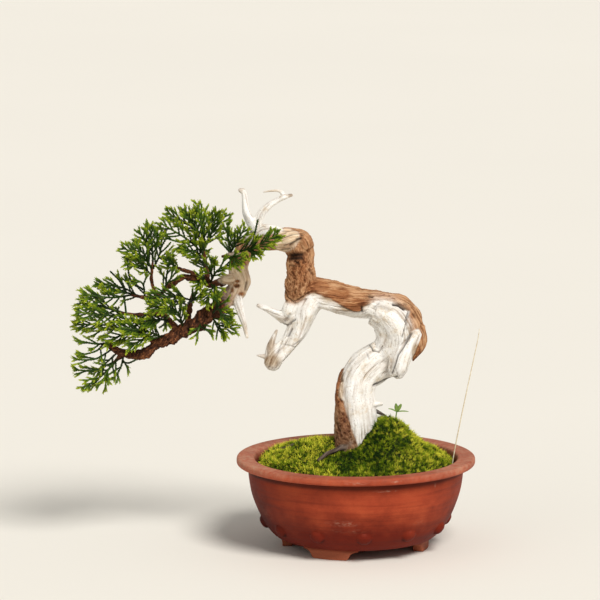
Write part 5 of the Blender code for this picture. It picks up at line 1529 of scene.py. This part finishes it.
class TwigNet:
    """One bunch's twigs as lines of points, each with its thickness and its youth."""

    def __init__(self, seed: int) -> None:
        """An empty net that is a little younger or older than usual.

        Args:
            seed: What its random draws start from.
        """
        self.points: list[Array] = []
        self.edges: list[tuple[int, int]] = []
        self.thick: list[float] = []
        self.young: list[float] = []
        self.draw = random.Random(seed)
        self.youth = self.draw.uniform(-0.06, 0.06)

    def add(self, line: Array, thick: Point, young: Point) -> None:
        """Adds one twig.

        Args:
            line: Its points, from its root to its tip.
            thick: Its radius at its root and its tip.
            young: Its youth at its root and its tip, from 0 to 1, in a usual bunch.
        """
        start = len(self.thick)
        share = np.linspace(0, 1, len(line))
        first, last = (value + self.youth for value in young)
        self.points.extend(line)
        self.thick.extend(thick[0] + (thick[1] - thick[0]) * share)
        self.young.extend(first + (last - first) * share)
        self.edges.extend((start + step, start + step + 1) for step in range(len(line) - 1))

    def built(self, name: str) -> Object:
        """The net as an object of edges.

        Args:
            name: The object's name.

        Returns:
            The object.
        """
        obj = object_of(name, np.array(self.points), [], smooth=False, edges=self.edges)
        mark(obj, "thick", np.array(self.thick) * MM)
        mark(obj, "young", np.array(self.young))
        return obj


@dataclass
class Foliage:
    """Every leafy bunch: cords along their arms, side shoots off the cords and short forks near the tips."""

    finish: Material
    stem_radius: Point = (0.62, 0.54)
    shoot_radius: Point = (0.50, 0.60)
    fork_radius: Point = (0.56, 0.54)
    shoot_length: float = 9.4
    shoots_per_count: float = 2.15
    shoot_lean: Point = (33.0, 47.0)
    fork_lean: Point = (20.0, 34.0)
    fork_length: Point = (2.1, 3.9)
    leaf_spacing: float = 0.74
    stem_share: float = 0.78
    upward: float = 0.05
    bare: float = 0.24
    overhang: float = 0.5
    first_seed: int = 1000

    def build(self) -> None:
        """Grows and clads every bunch."""
        tree = leafy_shoots()
        pair = self.leaf_pair()
        total = 0
        for index, (name, bunch) in enumerate(BUNCHES.items()):
            obj = self.grown(bunch, self.first_seed + index).built("foliage_" + name)
            size = {"leaf_spacing": self.leaf_spacing * MM, "stem_share": self.stem_share}
            tree.run(obj, material=self.finish, leaf_pair=pair, **size)
            obj.data.shade_flat()
            total += triangles(obj)
            settle(obj, None, "juniper_leaf", "spray_" + name)
        remove(pair)
        LOG.info("foliage: %d triangles in all", total)

    def leaf_pair(self) -> Object:
        """Two opposite scale leaves, short, keeled and pointed, pressed to a stem of radius 1 up z.

        Returns:
            The template.
        """
        shell = Shell()
        for turn in (0.0, math.pi):
            spin = Matrix.Rotation(turn, 3, "Z")
            corners = (0.55, 0, -0.3), (0.6, -0.66, 0.45), (0.6, 0.66, 0.45), (1.04, 0, 0.65), (0.98, 0, 1.75)
            points = np.array([spin @ Vector(corner) for corner in corners])
            shell.add(points, [(0, 1, 3), (0, 3, 2), (1, 4, 3), (3, 4, 2), (0, 4, 1), (0, 2, 4)])
        pair = shell.built("leaf_pair", smooth=False)
        pair.data.transform(Matrix.Scale(1 / MM, 4))
        pair.hide_render = True
        return pair

    def grown(self, bunch: Sequence[Point], seed: int) -> TwigNet:
        """One bunch's twigs.

        Args:
            bunch: Its arms.
            seed: What its random draws start from.

        Returns:
            The twigs.
        """
        net = TwigNet(seed)
        for shoots, *route in bunch:
            rows = smooth_route([place(*route[start : start + 3]) for start in (0, 3, 6)], 1.0)
            net.add(rows, self.stem_radius, (0.02, 0.72 if shoots else 0.42))
            self.add_shoots(net, rows, round(shoots * self.shoots_per_count))
        return net

    def inside(self, point: Array) -> bool:
        """Whether a tip stays within the tree's own reach."""
        low, high = (np.array(corner) / MM for corner in CAD_BOX)
        return bool(((point > low - self.overhang) & (point < high + self.overhang)).all())

    def add_shoots(self, net: TwigNet, rows: Array, count: int) -> None:
        """Side shoots along a stem, left and right in turn, shorter and closer together towards its tip.

        Args:
            net: What they are added to.
            rows: The stem's points.
            count: How many.
        """
        if not count:
            return
        draw = net.draw
        ahead, _, _ = frames_along(rows)
        whole = float(norm(np.diff(rows, axis=0), axis=1).sum())
        lean = draw.uniform(*self.shoot_lean)
        for number in range(count):
            share = 0.10 + 0.88 * ((number + draw.uniform(0.2, 0.8)) / count) ** 0.9
            index = min(len(rows) - 1, round(share * (len(rows) - 1)))
            way = ahead[index]
            face = unit(np.array((draw.uniform(-0.5, 0.5), -1.0, draw.uniform(-0.2, 0.8))))
            side = unit(np.cross(way, face)) * (1 if number % 2 else -1)
            out = unit(side + face * draw.uniform(-0.8, 0.8))
            turn = math.radians(lean + draw.uniform(-8, 8)) * (1.15 - 0.45 * share)
            start = way * math.cos(turn) + out * math.sin(turn)
            length = min(self.shoot_length * draw.uniform(0.72, 1.1), 0.62 * whole * (1 - share) + 2.6)
            while length > 1.5 and not self.inside(rows[index] + start * length):
                length *= 0.8
            self.add_shoot(net, rows[index], start, way, out, length)
        for turn in (-1, 1):
            side = unit(np.cross(ahead[-1], (draw.uniform(-0.3, 0.3), -1.0, draw.uniform(-0.3, 0.3)))) * turn
            way = unit(ahead[-1] + side * draw.uniform(0.35, 0.7))
            self.add_fork(net, rows[-2], way, ahead[-1], draw.uniform(1.3, 2.4))

    def add_shoot(
        self, net: TwigNet, root: Array, start: Array, way: Array, out: Array, length: float
    ) -> None:
        """One shoot, bending forwards and up, with short forks off its outer half.

        Args:
            net: What it is added to.
            root: Where it leaves its stem.
            start: The way that it leaves in.
            way: The way that its stem goes.
            out: The way across from the stem.
            length: How long it is.
        """
        draw = net.draw
        steps = max(3, round(length))
        line, heading = [root], start
        bend = draw.uniform(0.02, 0.09) * 7 / steps
        for _ in range(steps):
            heading = unit(heading + way * bend + np.array((0, 0, self.upward)) * draw.uniform(-0.3, 1.0))
            line.append(line[-1] + heading * length / steps)
        line = np.array(line)
        net.add(line, self.shoot_radius, (0.08, 0.86 + draw.uniform(-0.08, 0.1)))
        if draw.random() < self.bare:
            return
        ahead, _, _ = frames_along(line)
        plane = unit(np.cross(way, out))
        count = max(1, round(length * 0.34))
        for number in range(count):
            share = 0.36 + 0.52 * (number + draw.uniform(0.2, 0.8)) / count
            index = min(steps - 1, round(share * steps))
            side = unit(np.cross(ahead[index], plane)) * (1 if number % 2 else -1)
            side = unit(side + plane * draw.uniform(-0.6, 0.6))
            lean = math.radians(draw.uniform(*self.fork_lean))
            heading = ahead[index] * math.cos(lean) + side * math.sin(lean)
            reach = draw.uniform(*self.fork_length) * min(1.0, 0.35 + length / 9)
            if self.inside(line[index] + heading * reach):
                self.add_fork(net, line[index], heading, ahead[index], reach)

    def add_fork(self, net: TwigNet, root: Array, heading: Array, way: Array, reach: float) -> None:
        """A short, young fork that bends to run beside its shoot.

        Args:
            net: What it is added to.
            root: Where it leaves its shoot.
            heading: The way that it leaves in.
            way: The way that its shoot goes.
            reach: How long it is.
        """
        fork = [root]
        for _ in range(3):
            heading = unit(heading + way * 0.13)
            fork.append(fork[-1] + heading * reach / 3)
        net.add(np.array(fork), self.fork_radius, (0.50, 1.0))


# The bed


@dataclass(frozen=True)
class Swell:
    """A rounded rise in the bed, or a dip if its height is negative: its middle, half-widths, height."""

    x: float
    y: float
    wide: float
    deep: float
    height: float

    def rise(self, x: Array, y: Array) -> Array:
        """How much it adds at places from the pot's axis."""
        across, along = (x - self.x) / self.wide, (y - self.y) / self.deep
        return self.height * np.exp(-(across**2 + along**2) / 2)


@dataclass
class Bed:
    """The mound of soil and its moss, which fill the pot."""

    moss: Material
    soil: Material
    wood: GrainField
    edge: float = 42.0
    crown: float = 7.0
    reach: float = 54.0
    moss_radius: float = 47.5
    soil_edge: float = 39.5
    mat_depth: float = 3.3
    swell: float = 0.7
    cushion: float = 1.3
    tuft: float = 1.7
    sprig_gap: float = 1.32
    sprig_size: Point = (0.75, 1.5)
    form: tuple[Swell, ...] = (
        Swell(16, -1, 11.5, 17, 17.0),
        Swell(-24, 1, 12, 18, 5.0),
        Swell(-4, -22, 9, 12, -4.5),
        Swell(-12.5, -1, 3.6, 5, 2.8),
    )

    def hill(self, x: Array, y: Array) -> Array:
        """The bed's height.

        Args:
            x: How far right of the pot's axis.
            y: How far behind it.

        Returns:
            The height at each place.
        """
        reach = np.minimum(1.0, np.hypot(x, y) / self.reach)
        crown = np.maximum(0.0, np.cos(reach * math.pi / 2)) ** 0.8
        return self.edge + self.crown * crown + sum(part.rise(x, y) for part in self.form)

    def moss_top(self, x: Array, y: Array) -> Array:
        """The moss's height, with its swells, cushions and tufts and its hem turned down.

        Args:
            x: How far right of the pot's axis.
            y: How far behind it.

        Returns:
            The height at each place.
        """
        swell = self.swell * np.sin(0.42 * x + 0.5 * np.sin(0.3 * y)) * np.cos(0.37 * y + 0.8)
        cushion = perlin(level(x, y) * 0.19 + 7) * self.cushion
        tuft = (np.abs(perlin(level(x, y) * 0.34 + 3)) ** 0.6 - 0.4) * self.tuft
        hem = np.clip((np.hypot(x, y) - (self.moss_radius - 3.0)) / 3.0, 0, 1)
        return self.hill(x, y) + swell + cushion + tuft - 1.6 * hem**2.5

    def disc(self, name: str, rings: Array, steps: int, top: Callable, depth: float) -> Object:
        """A closed round mat about the pot's axis.

        Args:
            name: The object's name.
            rings: The radii of its rings.
            steps: How many corners a ring has.
            top: Gives its height from arrays of x and y.
            depth: How thick it is.

        Returns:
            The object.
        """
        angle = np.arange(steps) * 2 * math.pi / steps
        x, y = rings[:, None] * np.cos(angle), rings[:, None] * np.sin(angle)
        height = top(x.ravel(), y.ravel()).reshape(x.shape)
        upper = np.dstack([x + POT_X, y, height])
        lower = upper.copy()
        lower[..., 2] -= depth
        hem = upper[-1].copy()
        hem[:, 2] -= depth / 2
        shell = Shell()
        shell.add_rings(np.concatenate([lower, hem[None], upper[::-1]]))
        return shell.built(name)

    def build_moss(self) -> None:
        """The mat of moss and the sprigs that stand on it, where no wood comes through."""
        rings = np.append(np.linspace(0.2, 46.6, 66), (47.1, 47.45))
        mat = self.disc("moss_mat", rings, 220, self.moss_top, self.mat_depth)
        points, ways = surface_of(mat)
        mark(mat, "bright", self.brightness(points))
        # The mat stays near the foot colour: painted shade between the sprigs.
        mark(mat, "fresh", np.full(len(points), 0.20))
        _, shares = self.wood.nearness(points)
        mark(mat, "grow", (shares.min(axis=1) > 1.02) * eased(ways[:, 2], 0.0, 0.25))
        mat.data.materials.append(self.moss)
        sprigs = linked("moss_sprigs", mat.data.copy())
        sprig = self.sprig()
        least, most = self.sprig_size
        look = {"material": self.moss, "shape": sprig, "least_size": least, "most_size": most, "tilt": 0.45}
        scattered().run(sprigs, apart=self.sprig_gap * MM, density=4e6, seed=4, **look)
        remove(sprig)
        settle(mat, None, "moss", "moss")
        settle(sprigs, None, "moss", "moss")

    def brightness(self, points: Array) -> Array:
        """How bright the moss is: yellowest on the low left lobe and along the front, brighter on the crest
        and a ledge, least in the dip, with painted light on its right side and painted shade in the creases
        between tufts.

        Args:
            points: The mat's vertices.

        Returns:
            The brightness of each, from 0 to 1.
        """
        x, y = points[:, 0] - POT_X, points[:, 1]
        left = eased(x, -4, -20)
        dip = np.exp(-(((x + 6) / 10) ** 2) - ((y + 22) / 12) ** 2)
        inner = np.exp(-(((x - 11) / 8) ** 2) - ((y + 20) / 15) ** 2)
        # Painted light: the right side is made brighter, as lit.
        right = eased(x, 14, 30)
        crest = np.exp(-(((x - 16) / 9) ** 2) - ((y - 1) / 9) ** 2)
        ledge = np.exp(-(((x + 12) / 7) ** 2) - ((y + 2) / 9) ** 2)
        hem = eased(y, -34, -44)
        base = 0.50 + 0.32 * left + 0.14 * hem + 0.30 * right + 0.34 * crest + 0.30 * ledge
        base = base - 0.42 * dip - 0.16 * inner
        # Painted shade: darker in the creases between the tufts.
        crease = eased(np.abs(perlin(level(x, y) * 0.34 + 3)), 0.16, 0.0)
        return np.clip(base + perlin(points * 0.12) * 0.24 - 0.40 * crease, 0, 1)

    def sprig(self) -> Object:
        """One moss sprig, a star of pointed leaves about a short shoot.

        Returns:
            The template.
        """
        shell = Shell()
        marks = []
        for leaf in range(8):
            turn = leaf * 2 * math.pi / 8 + (leaf % 2) * 0.3
            lean = math.radians((6, 46, 66, 28, 56, 38, 70, 50)[leaf])
            length = (2.0, 1.5, 1.1, 1.8, 1.3, 1.6, 1.0, 1.3)[leaf]
            spin = Matrix.Rotation(turn, 3, "Z") @ Matrix.Rotation(lean, 3, "Y")
            corners = ((-0.12, -0.23, -0.5), (-0.12, 0.23, -0.5), (0.22, 0.0, -0.45), (0.0, 0.0, length))
            points = np.array([spin @ Vector(corner) for corner in corners])
            shell.add(points, [(0, 2, 3), (2, 1, 3), (1, 0, 3), (0, 1, 2)])
            marks.extend((0.0, 0.0, 0.0, 1.0))
        sprig = shell.built("sprig", smooth=False)
        mark(sprig, "fresh", np.array(marks))
        sprig.hide_render = True
        return sprig

    def soil_top(self, x: Array, y: Array) -> Array:
        """The soil's height between the moss's hem and the wall."""
        slope = np.clip((np.hypot(x, y) - 40.0) / 11.0, 0, 1)
        return (self.hill(x, y) - self.mat_depth - 0.6) * (1 - slope) + self.soil_edge * slope

    def build_soil(self) -> None:
        """Loose grains over the soil that shows between the moss and the wall."""
        bed = self.disc("soil_grains", np.linspace(42, 49.6, 12), 200, self.soil_top, 0.6)
        points, ways = surface_of(bed)
        beyond = np.hypot(points[:, 0] - POT_X, points[:, 1]) > 42.3
        mark(bed, "grow", beyond * eased(ways[:, 2], 0.2, 0.5))
        bm = bmesh.new()
        bmesh.ops.create_icosphere(bm, subdivisions=1, radius=0.75)
        for vertex in bm.verts:
            vertex.co *= 1 + 0.22 * noise.noise(vertex.co * 1.7)
            vertex.co.z *= 0.8
        shell = Shell()
        shell.add_bmesh(bm)
        grain = shell.built("grain", smooth=False)
        grain.hide_render = True
        look = {"material": self.soil, "shape": grain, "least_size": 0.55, "most_size": 1.45, "tilt": 1.4}
        scattered().run(bed, apart=1.05 * MM, density=3e6, seed=9, **look)
        remove(grain)
        settle(bed, None, "granular_soil")
        frame["nodes"]["soil"].material_slots[0].material = self.soil


# The pot


@dataclass
class Pot:
    """A round bowl with a rolled lip, twelve studs round its foot and four bracket feet."""

    finish: Material
    height: float = 46.0
    lip_radius: float = 60.0
    lip_thickness: float = 3.6
    mouth_radius: float = 51.0
    neck_radius: float = 53.6
    base_radius: float = 38.0
    wall: float = 4.0
    foot_height: float = 5.4
    floor: float = 9.6
    drain_radius: float = 6.0
    steps: int = 360
    foot_turns: tuple[float, ...] = (-21.5, 79.0, 158.5, 259.0)
    foot_width: float = 30.0
    foot_depth: float = 4.8
    foot_root: float = 1.6
    studs: int = 12
    stud_turn: float = math.radians(4.8)
    stud_height: float = 13.0
    stud_radius: float = 3.6
    stud_proud: float = 1.9

    def outer_radius(self, height: float) -> float:
        """The bowl's outside below the lip: straight at the neck, full, then rounding in to its base.

        Args:
            height: How high up.

        Returns:
            The radius there.
        """
        rise = (height - self.foot_height) / (self.height - self.lip_thickness - self.foot_height)
        belly = math.sin(math.pi / 2 * min(1.0, max(0.0, rise))) ** 0.62
        return self.base_radius + (self.neck_radius + 0.6 - self.base_radius) * belly

    def inner_radius(self, height: float) -> float:
        """The bowl's inside."""
        return min(self.mouth_radius, self.outer_radius(height - 1.5) - self.wall)

    def corners(self) -> list[tuple[float, float, float]]:
        """The section's corners, from the mouth over the lip and round.

        Returns:
            Their radii, heights and roundings.
        """
        low = self.height - self.lip_thickness
        lip = [
            (self.mouth_radius + 0.1, self.height - 0.1, 1.3),
            (self.lip_radius - 0.15, self.height, 1.5),
            (self.lip_radius - 0.1, low, 1.3),
            (self.neck_radius + 0.5, low - 0.5, 0.5),
        ]
        heights = np.concatenate([np.linspace(41.2, 20, 16), np.linspace(19.4, 5.9, 30)])
        outside = [(self.outer_radius(height), height, 0.0) for height in heights]
        under = [
            (self.base_radius - 0.6, self.foot_height - 0.25, 0.4),
            (self.base_radius - 2.5, self.foot_height - 0.2, 0.0),
            (self.drain_radius, self.foot_height, 0.6),
        ]
        floor = [(self.drain_radius, self.floor, 0.6), (self.inner_radius(self.floor) - 2.5, self.floor, 1.5)]
        inside = [(self.inner_radius(height), height, 0.0) for height in (12.4, 16, 19, 24, 29, 34, 38, 41)]
        return lip + outside + under + floor + inside

    def profile(self) -> Array:
        """The section with its corners rounded.

        Returns:
            Its radii and heights.
        """
        corners = self.corners()
        found = []
        for index, (radius, height, rounding) in enumerate(corners):
            corner = np.array((radius, height))
            if not rounding:
                found.append(corner)
                continue
            before = np.array(corners[index - 1][:2])
            after = np.array(corners[(index + 1) % len(corners)][:2])
            start = corner + unit(before - corner) * rounding
            end = corner + unit(after - corner) * rounding
            for t in np.linspace(0, 1, 7):
                found.append((1 - t) ** 2 * start + 2 * t * (1 - t) * corner + t**2 * end)
        return np.array(found)

    def bowl(self) -> tuple[Array, list[tuple[int, ...]]]:
        """The bowl with its studs drawn out of its side.

        Returns:
            Its vertices and faces.
        """
        profile = self.profile()
        angle = np.arange(self.steps) * 2 * math.pi / self.steps
        radius = np.repeat(profile[:, :1], self.steps, axis=1)
        height = np.repeat(profile[:, 1:], self.steps, axis=1)
        flat = np.dstack([radius * np.cos(angle), radius * np.sin(angle), height]).reshape(-1, 3)
        outer = self.outer_radius(self.stud_height)
        slope = math.atan2(self.outer_radius(15.0) - self.outer_radius(11.0), 4.0)
        radial = level(flat[:, 0], flat[:, 1])
        radial /= norm(radial, axis=1)[:, None]
        out = radial * math.cos(slope) + np.array((0, 0, -math.sin(slope)))
        side = np.hypot(flat[:, 0], flat[:, 1]) > 36.5
        points = flat.copy()
        ring = np.zeros(len(flat))
        for stud in range(self.studs):
            turn = -math.pi / 2 + self.stud_turn + stud * 2 * math.pi / self.studs
            middle = np.array((outer * math.cos(turn), outer * math.sin(turn), self.stud_height))
            away = norm(flat - middle, axis=1) / self.stud_radius
            dome = np.clip(1 - away**2.6, 0, 1) ** 0.55 * side
            points += out * (dome * self.stud_proud)[:, None]
            # Painted shade: a dark ring at the lower edge of each stud.
            under = eased(flat[:, 2] - middle[2], 0.5, -2.0)
            ring = np.maximum(ring, np.exp(-(((away - 0.98) / 0.14) ** 2)) * 0.8 * side * under)
        wobble = perlin(np.column_stack([radial[:, 0] * 1.3, radial[:, 1] * 1.3, flat[:, 2] * 0.09])) * 0.22
        points += radial * (wobble * (flat[:, 2] > 6) * (flat[:, 2] < 45.9))[:, None]
        # Painted shade: a band in the crease under the lip.
        neck = eased(flat[:, 2], 42.3, 40.8) * eased(flat[:, 2], 38.0, 40.6)
        self.painted_shade = np.clip(ring + neck * side, 0, 1)
        points[:, 0] += POT_X
        starts = range(0, len(flat), self.steps)
        faces = faces_between(self.steps, starts, [*starts[1:], 0])
        return points, [face[::-1] for face in faces]

    def foot(self, turn: float) -> bmesh.types.BMesh:
        """One bracket foot: a scrolled outline, drawn inwards under the edge of the base, edges softened.

        Args:
            turn: Its turn about the pot's axis.

        Returns:
            Its mesh in millimetres.
        """
        half = self.foot_width / 2
        top = self.foot_height + self.foot_root
        low = (
            (0.0, 4.9), (0.6, 4.55), (1.5, 4.25), (2.5, 3.95), (3.4, 3.55), (4.1, 3.0), (4.5, 2.4),
            (4.8, 1.8), (5.1, 1.2), (5.5, 0.6), (6.0, 0.2), (6.7, 0.0),
        )
        side = [(half, top)] + [(half - inset, height) for inset, height in low]
        middle = [(share * (half - 6.7), 0.0) for share in (0.66, 0.33, 0.0)]
        outline = side + middle + [(-across, height) for across, height in reversed(side + middle[:-1])]
        bm = bmesh.new()
        outer = []
        for across, height in outline:
            bow = math.sqrt((self.base_radius - 0.3) ** 2 - across**2)
            outer.append(bm.verts.new((across, -bow + (top - height) * 0.12, height)))
        face = bm.faces.new(outer)
        back = bmesh.ops.extrude_face_region(bm, geom=[face])["geom"]
        for vertex in (item for item in back if isinstance(item, bmesh.types.BMVert)):
            vertex.co.x *= 0.88
            vertex.co.y += self.foot_depth
        bmesh.ops.recalc_face_normals(bm, faces=bm.faces)
        rim = [edge for edge in bm.edges if edge.calc_face_angle(0.0) > 0.9]
        bmesh.ops.bevel(bm, geom=rim, offset=0.3, segments=2, affect="EDGES", profile=0.5)
        bmesh.ops.rotate(bm, verts=bm.verts, matrix=Matrix.Rotation(turn, 3, "Z"))
        bmesh.ops.translate(bm, verts=bm.verts, vec=(POT_X, 0, 0))
        return bm

    def build(self) -> None:
        """The bowl and its feet as one piece."""
        shell = Shell()
        shell.add(*self.bowl())
        for turn in self.foot_turns:
            shell.add_bmesh(self.foot(math.radians(turn)))
        pot = shell.built("pot_bowl")
        pot.data.set_sharp_from_angle(angle=math.radians(50))
        painted_shade = np.zeros(len(pot.data.vertices))
        painted_shade[: len(self.painted_shade)] = self.painted_shade
        mark(pot, "painted_shade", painted_shade)
        settle(pot, self.finish, "unglazed_clay", "pot")


# Weeds and net


@dataclass
class Seedling:
    """A weed seedling on the mound: a thread of stem, two long seed leaves and a forked pair above."""

    finish: Material
    crown: Point = (397, 411.5, 0)
    foot_at: Point = (396.5, 423, 0)

    def blade(self, end: Point, wide: float, droop: float) -> Array:
        """A thin leaf blade.

        Args:
            end: Its tip, as (across, down, depth).
            wide: Its half-width.
            droop: How far its middle rises above a straight line.

        Returns:
            Its rings.
        """
        start, tip = place(*self.crown), place(*end)
        share = np.linspace(0.0, 1.0, 12)
        line = start + (tip - start) * share[:, None]
        line[:, 2] += np.sin(share * math.pi) * droop
        width = wide * np.sin(np.clip(share * 0.92 + 0.06, 0, 1) * math.pi) ** 0.7 + 0.10
        ahead, _, _ = frames_along(line)
        flat = unit(np.array((0.0, -0.75, 0.65)))
        side = np.cross(ahead, flat)
        side /= norm(side, axis=1)[:, None]
        rise = np.cross(side, ahead)
        angle = np.arange(8) * math.pi / 4
        out = side[:, None] * np.cos(angle)[:, None] * width[:, None, None]
        out = out + rise[:, None] * (np.sin(angle) * 0.13)[:, None]
        rings = line[:, None] + out
        return rings[:, ::-1] if np.cross(side[0], rise[0]).dot(ahead[0]) < 0 else rings

    def build(self) -> None:
        """The seedling."""
        shell = Shell()
        stem = Limb(((*self.foot_at, 0.7), (396.3, 417, 0, 0.66), (*self.crown, 0.6)), Section(sides=2))
        shell.add_rings(stem.rings(0.8))
        shell.add_rings(self.blade((388.6, 408.4, -1), 0.30, 0.4))
        shell.add_rings(self.blade((409.0, 411.2, 1), 0.30, 0.3))
        shell.add_rings(self.blade((396.2, 403.0, 0), 0.85, 0.0))
        shell.add_rings(self.blade((401.8, 403.6, 0.5), 0.85, 0.0))
        settle(shell.built("weed_seedling"), self.finish, "seedling_leaf", "seedling")


@dataclass
class DryStalk:
    """One dry grass stalk that stands in the soil beside the rim."""

    finish: Material
    route: tuple[Point, ...] = (
        (452.6, 466.4, 2, 0.62), (456.8, 442.4, 2, 0.56), (463.5, 408.8, 2, 0.50), (470.6, 375, 2, 0.44),
        (478.3, 338.4, 2, 0.36), (479.6, 328.7, 2, 0.24),
    )

    def build(self) -> None:
        """The stalk."""
        shell = Shell()
        shell.add_rings(Limb(self.route, Section(sides=2, ridges=2, height=0.06)).rings(2.0))
        settle(shell.built("grass_stalk"), self.finish, "straw", "dry_stalk")


# The studio


@dataclass
class Studio:
    """The camera at the front view, a pale floor and soft lights."""

    target: Point = (0.012, 0.0, 0.1254)
    distance: float = 3.0
    drop: float = math.radians(9.9)
    lens: float = 360.0
    floor_size: float = 40.0
    floor_gap: float = 0.05
    world_light: float = 0.37

    def build(self) -> None:
        """Makes the camera, floor, sky and lamps."""
        self.camera()
        self.floor()
        self.sky()
        self.lamp("key", (0.45, -0.85, 1.05), 24.0, 2.98, (1.0, 0.975, 0.945))
        self.lamp("fill", (-0.9, -0.9, 0.5), 40.0, 0.20, (1.0, 0.98, 0.96))

    def camera(self) -> None:
        """The camera, level across and looking down a little."""
        data = bpy.data.cameras.new("front_view")
        data.lens = self.lens
        data.sensor_width = 36.0
        data.clip_start, data.clip_end = 0.05, 100.0
        camera = linked("front_view", data)
        back = Vector((0, -math.cos(self.drop), math.sin(self.drop)))
        camera.location = Vector(self.target) + back * self.distance
        camera.rotation_euler = (-back).to_track_quat("-Z", "Y").to_euler()
        bpy.context.scene.camera = camera

    def floor(self) -> None:
        """A wide floor just under the pot's feet."""
        half = self.floor_size / 2 / MM
        corners = ((-half, -half), (half, -half), (half, half), (-half, half))
        points = np.array([(*corner, -self.floor_gap) for corner in corners])
        floor = object_of("studio_floor", points, [(0, 1, 2, 3)], smooth=False)
        floor.data.materials.append(STUDIO_PAPER.build())

    def sky(self) -> None:
        """Even light from all round."""
        world = bpy.data.worlds.new("studio")
        world.use_nodes = True
        background = world.node_tree.nodes["Background"]
        background.inputs["Color"].default_value = (1.0, 0.985, 0.96, 1.0)
        background.inputs["Strength"].default_value = self.world_light
        bpy.context.scene.world = world
        bpy.context.scene.view_settings.view_transform = "Standard"

    def lamp(self, name: str, come_from: Point, spread: float, power: float, tint: Colour) -> None:
        """A broad, far light, so that the floor is lit evenly.

        Args:
            name: Its name.
            come_from: The way that it comes from.
            spread: How wide it is, in degrees.
            power: Its strength.
            tint: Its colour.
        """
        data = bpy.data.lights.new(name, "SUN")
        data.angle, data.energy, data.color = math.radians(spread), power, tint
        linked(name, data).rotation_euler = (-Vector(come_from)).to_track_quat("-Z", "Y").to_euler()


def main() -> None:
    """Builds every piece in order."""
    logging.basicConfig(level=logging.INFO, format="%(message)s")
    Studio().build()
    Pot(ClayFinish().build()).build()
    trunk = Trunk(WoodFinish().build())
    trunk.build()
    bed = Bed(MossFinish().build(), EarthFinish().build(), trunk.field)
    bed.build_moss()
    bed.build_soil()
    Foliage(LeafFinish().build()).build()
    Seedling(SEEDLING_LEAF.build()).build()
    DryStalk(STRAW.build()).build()
    frame["nodes"]["drain_screen"].material_slots[0].material = NET.build()


if __name__ == "__main__":
    main()
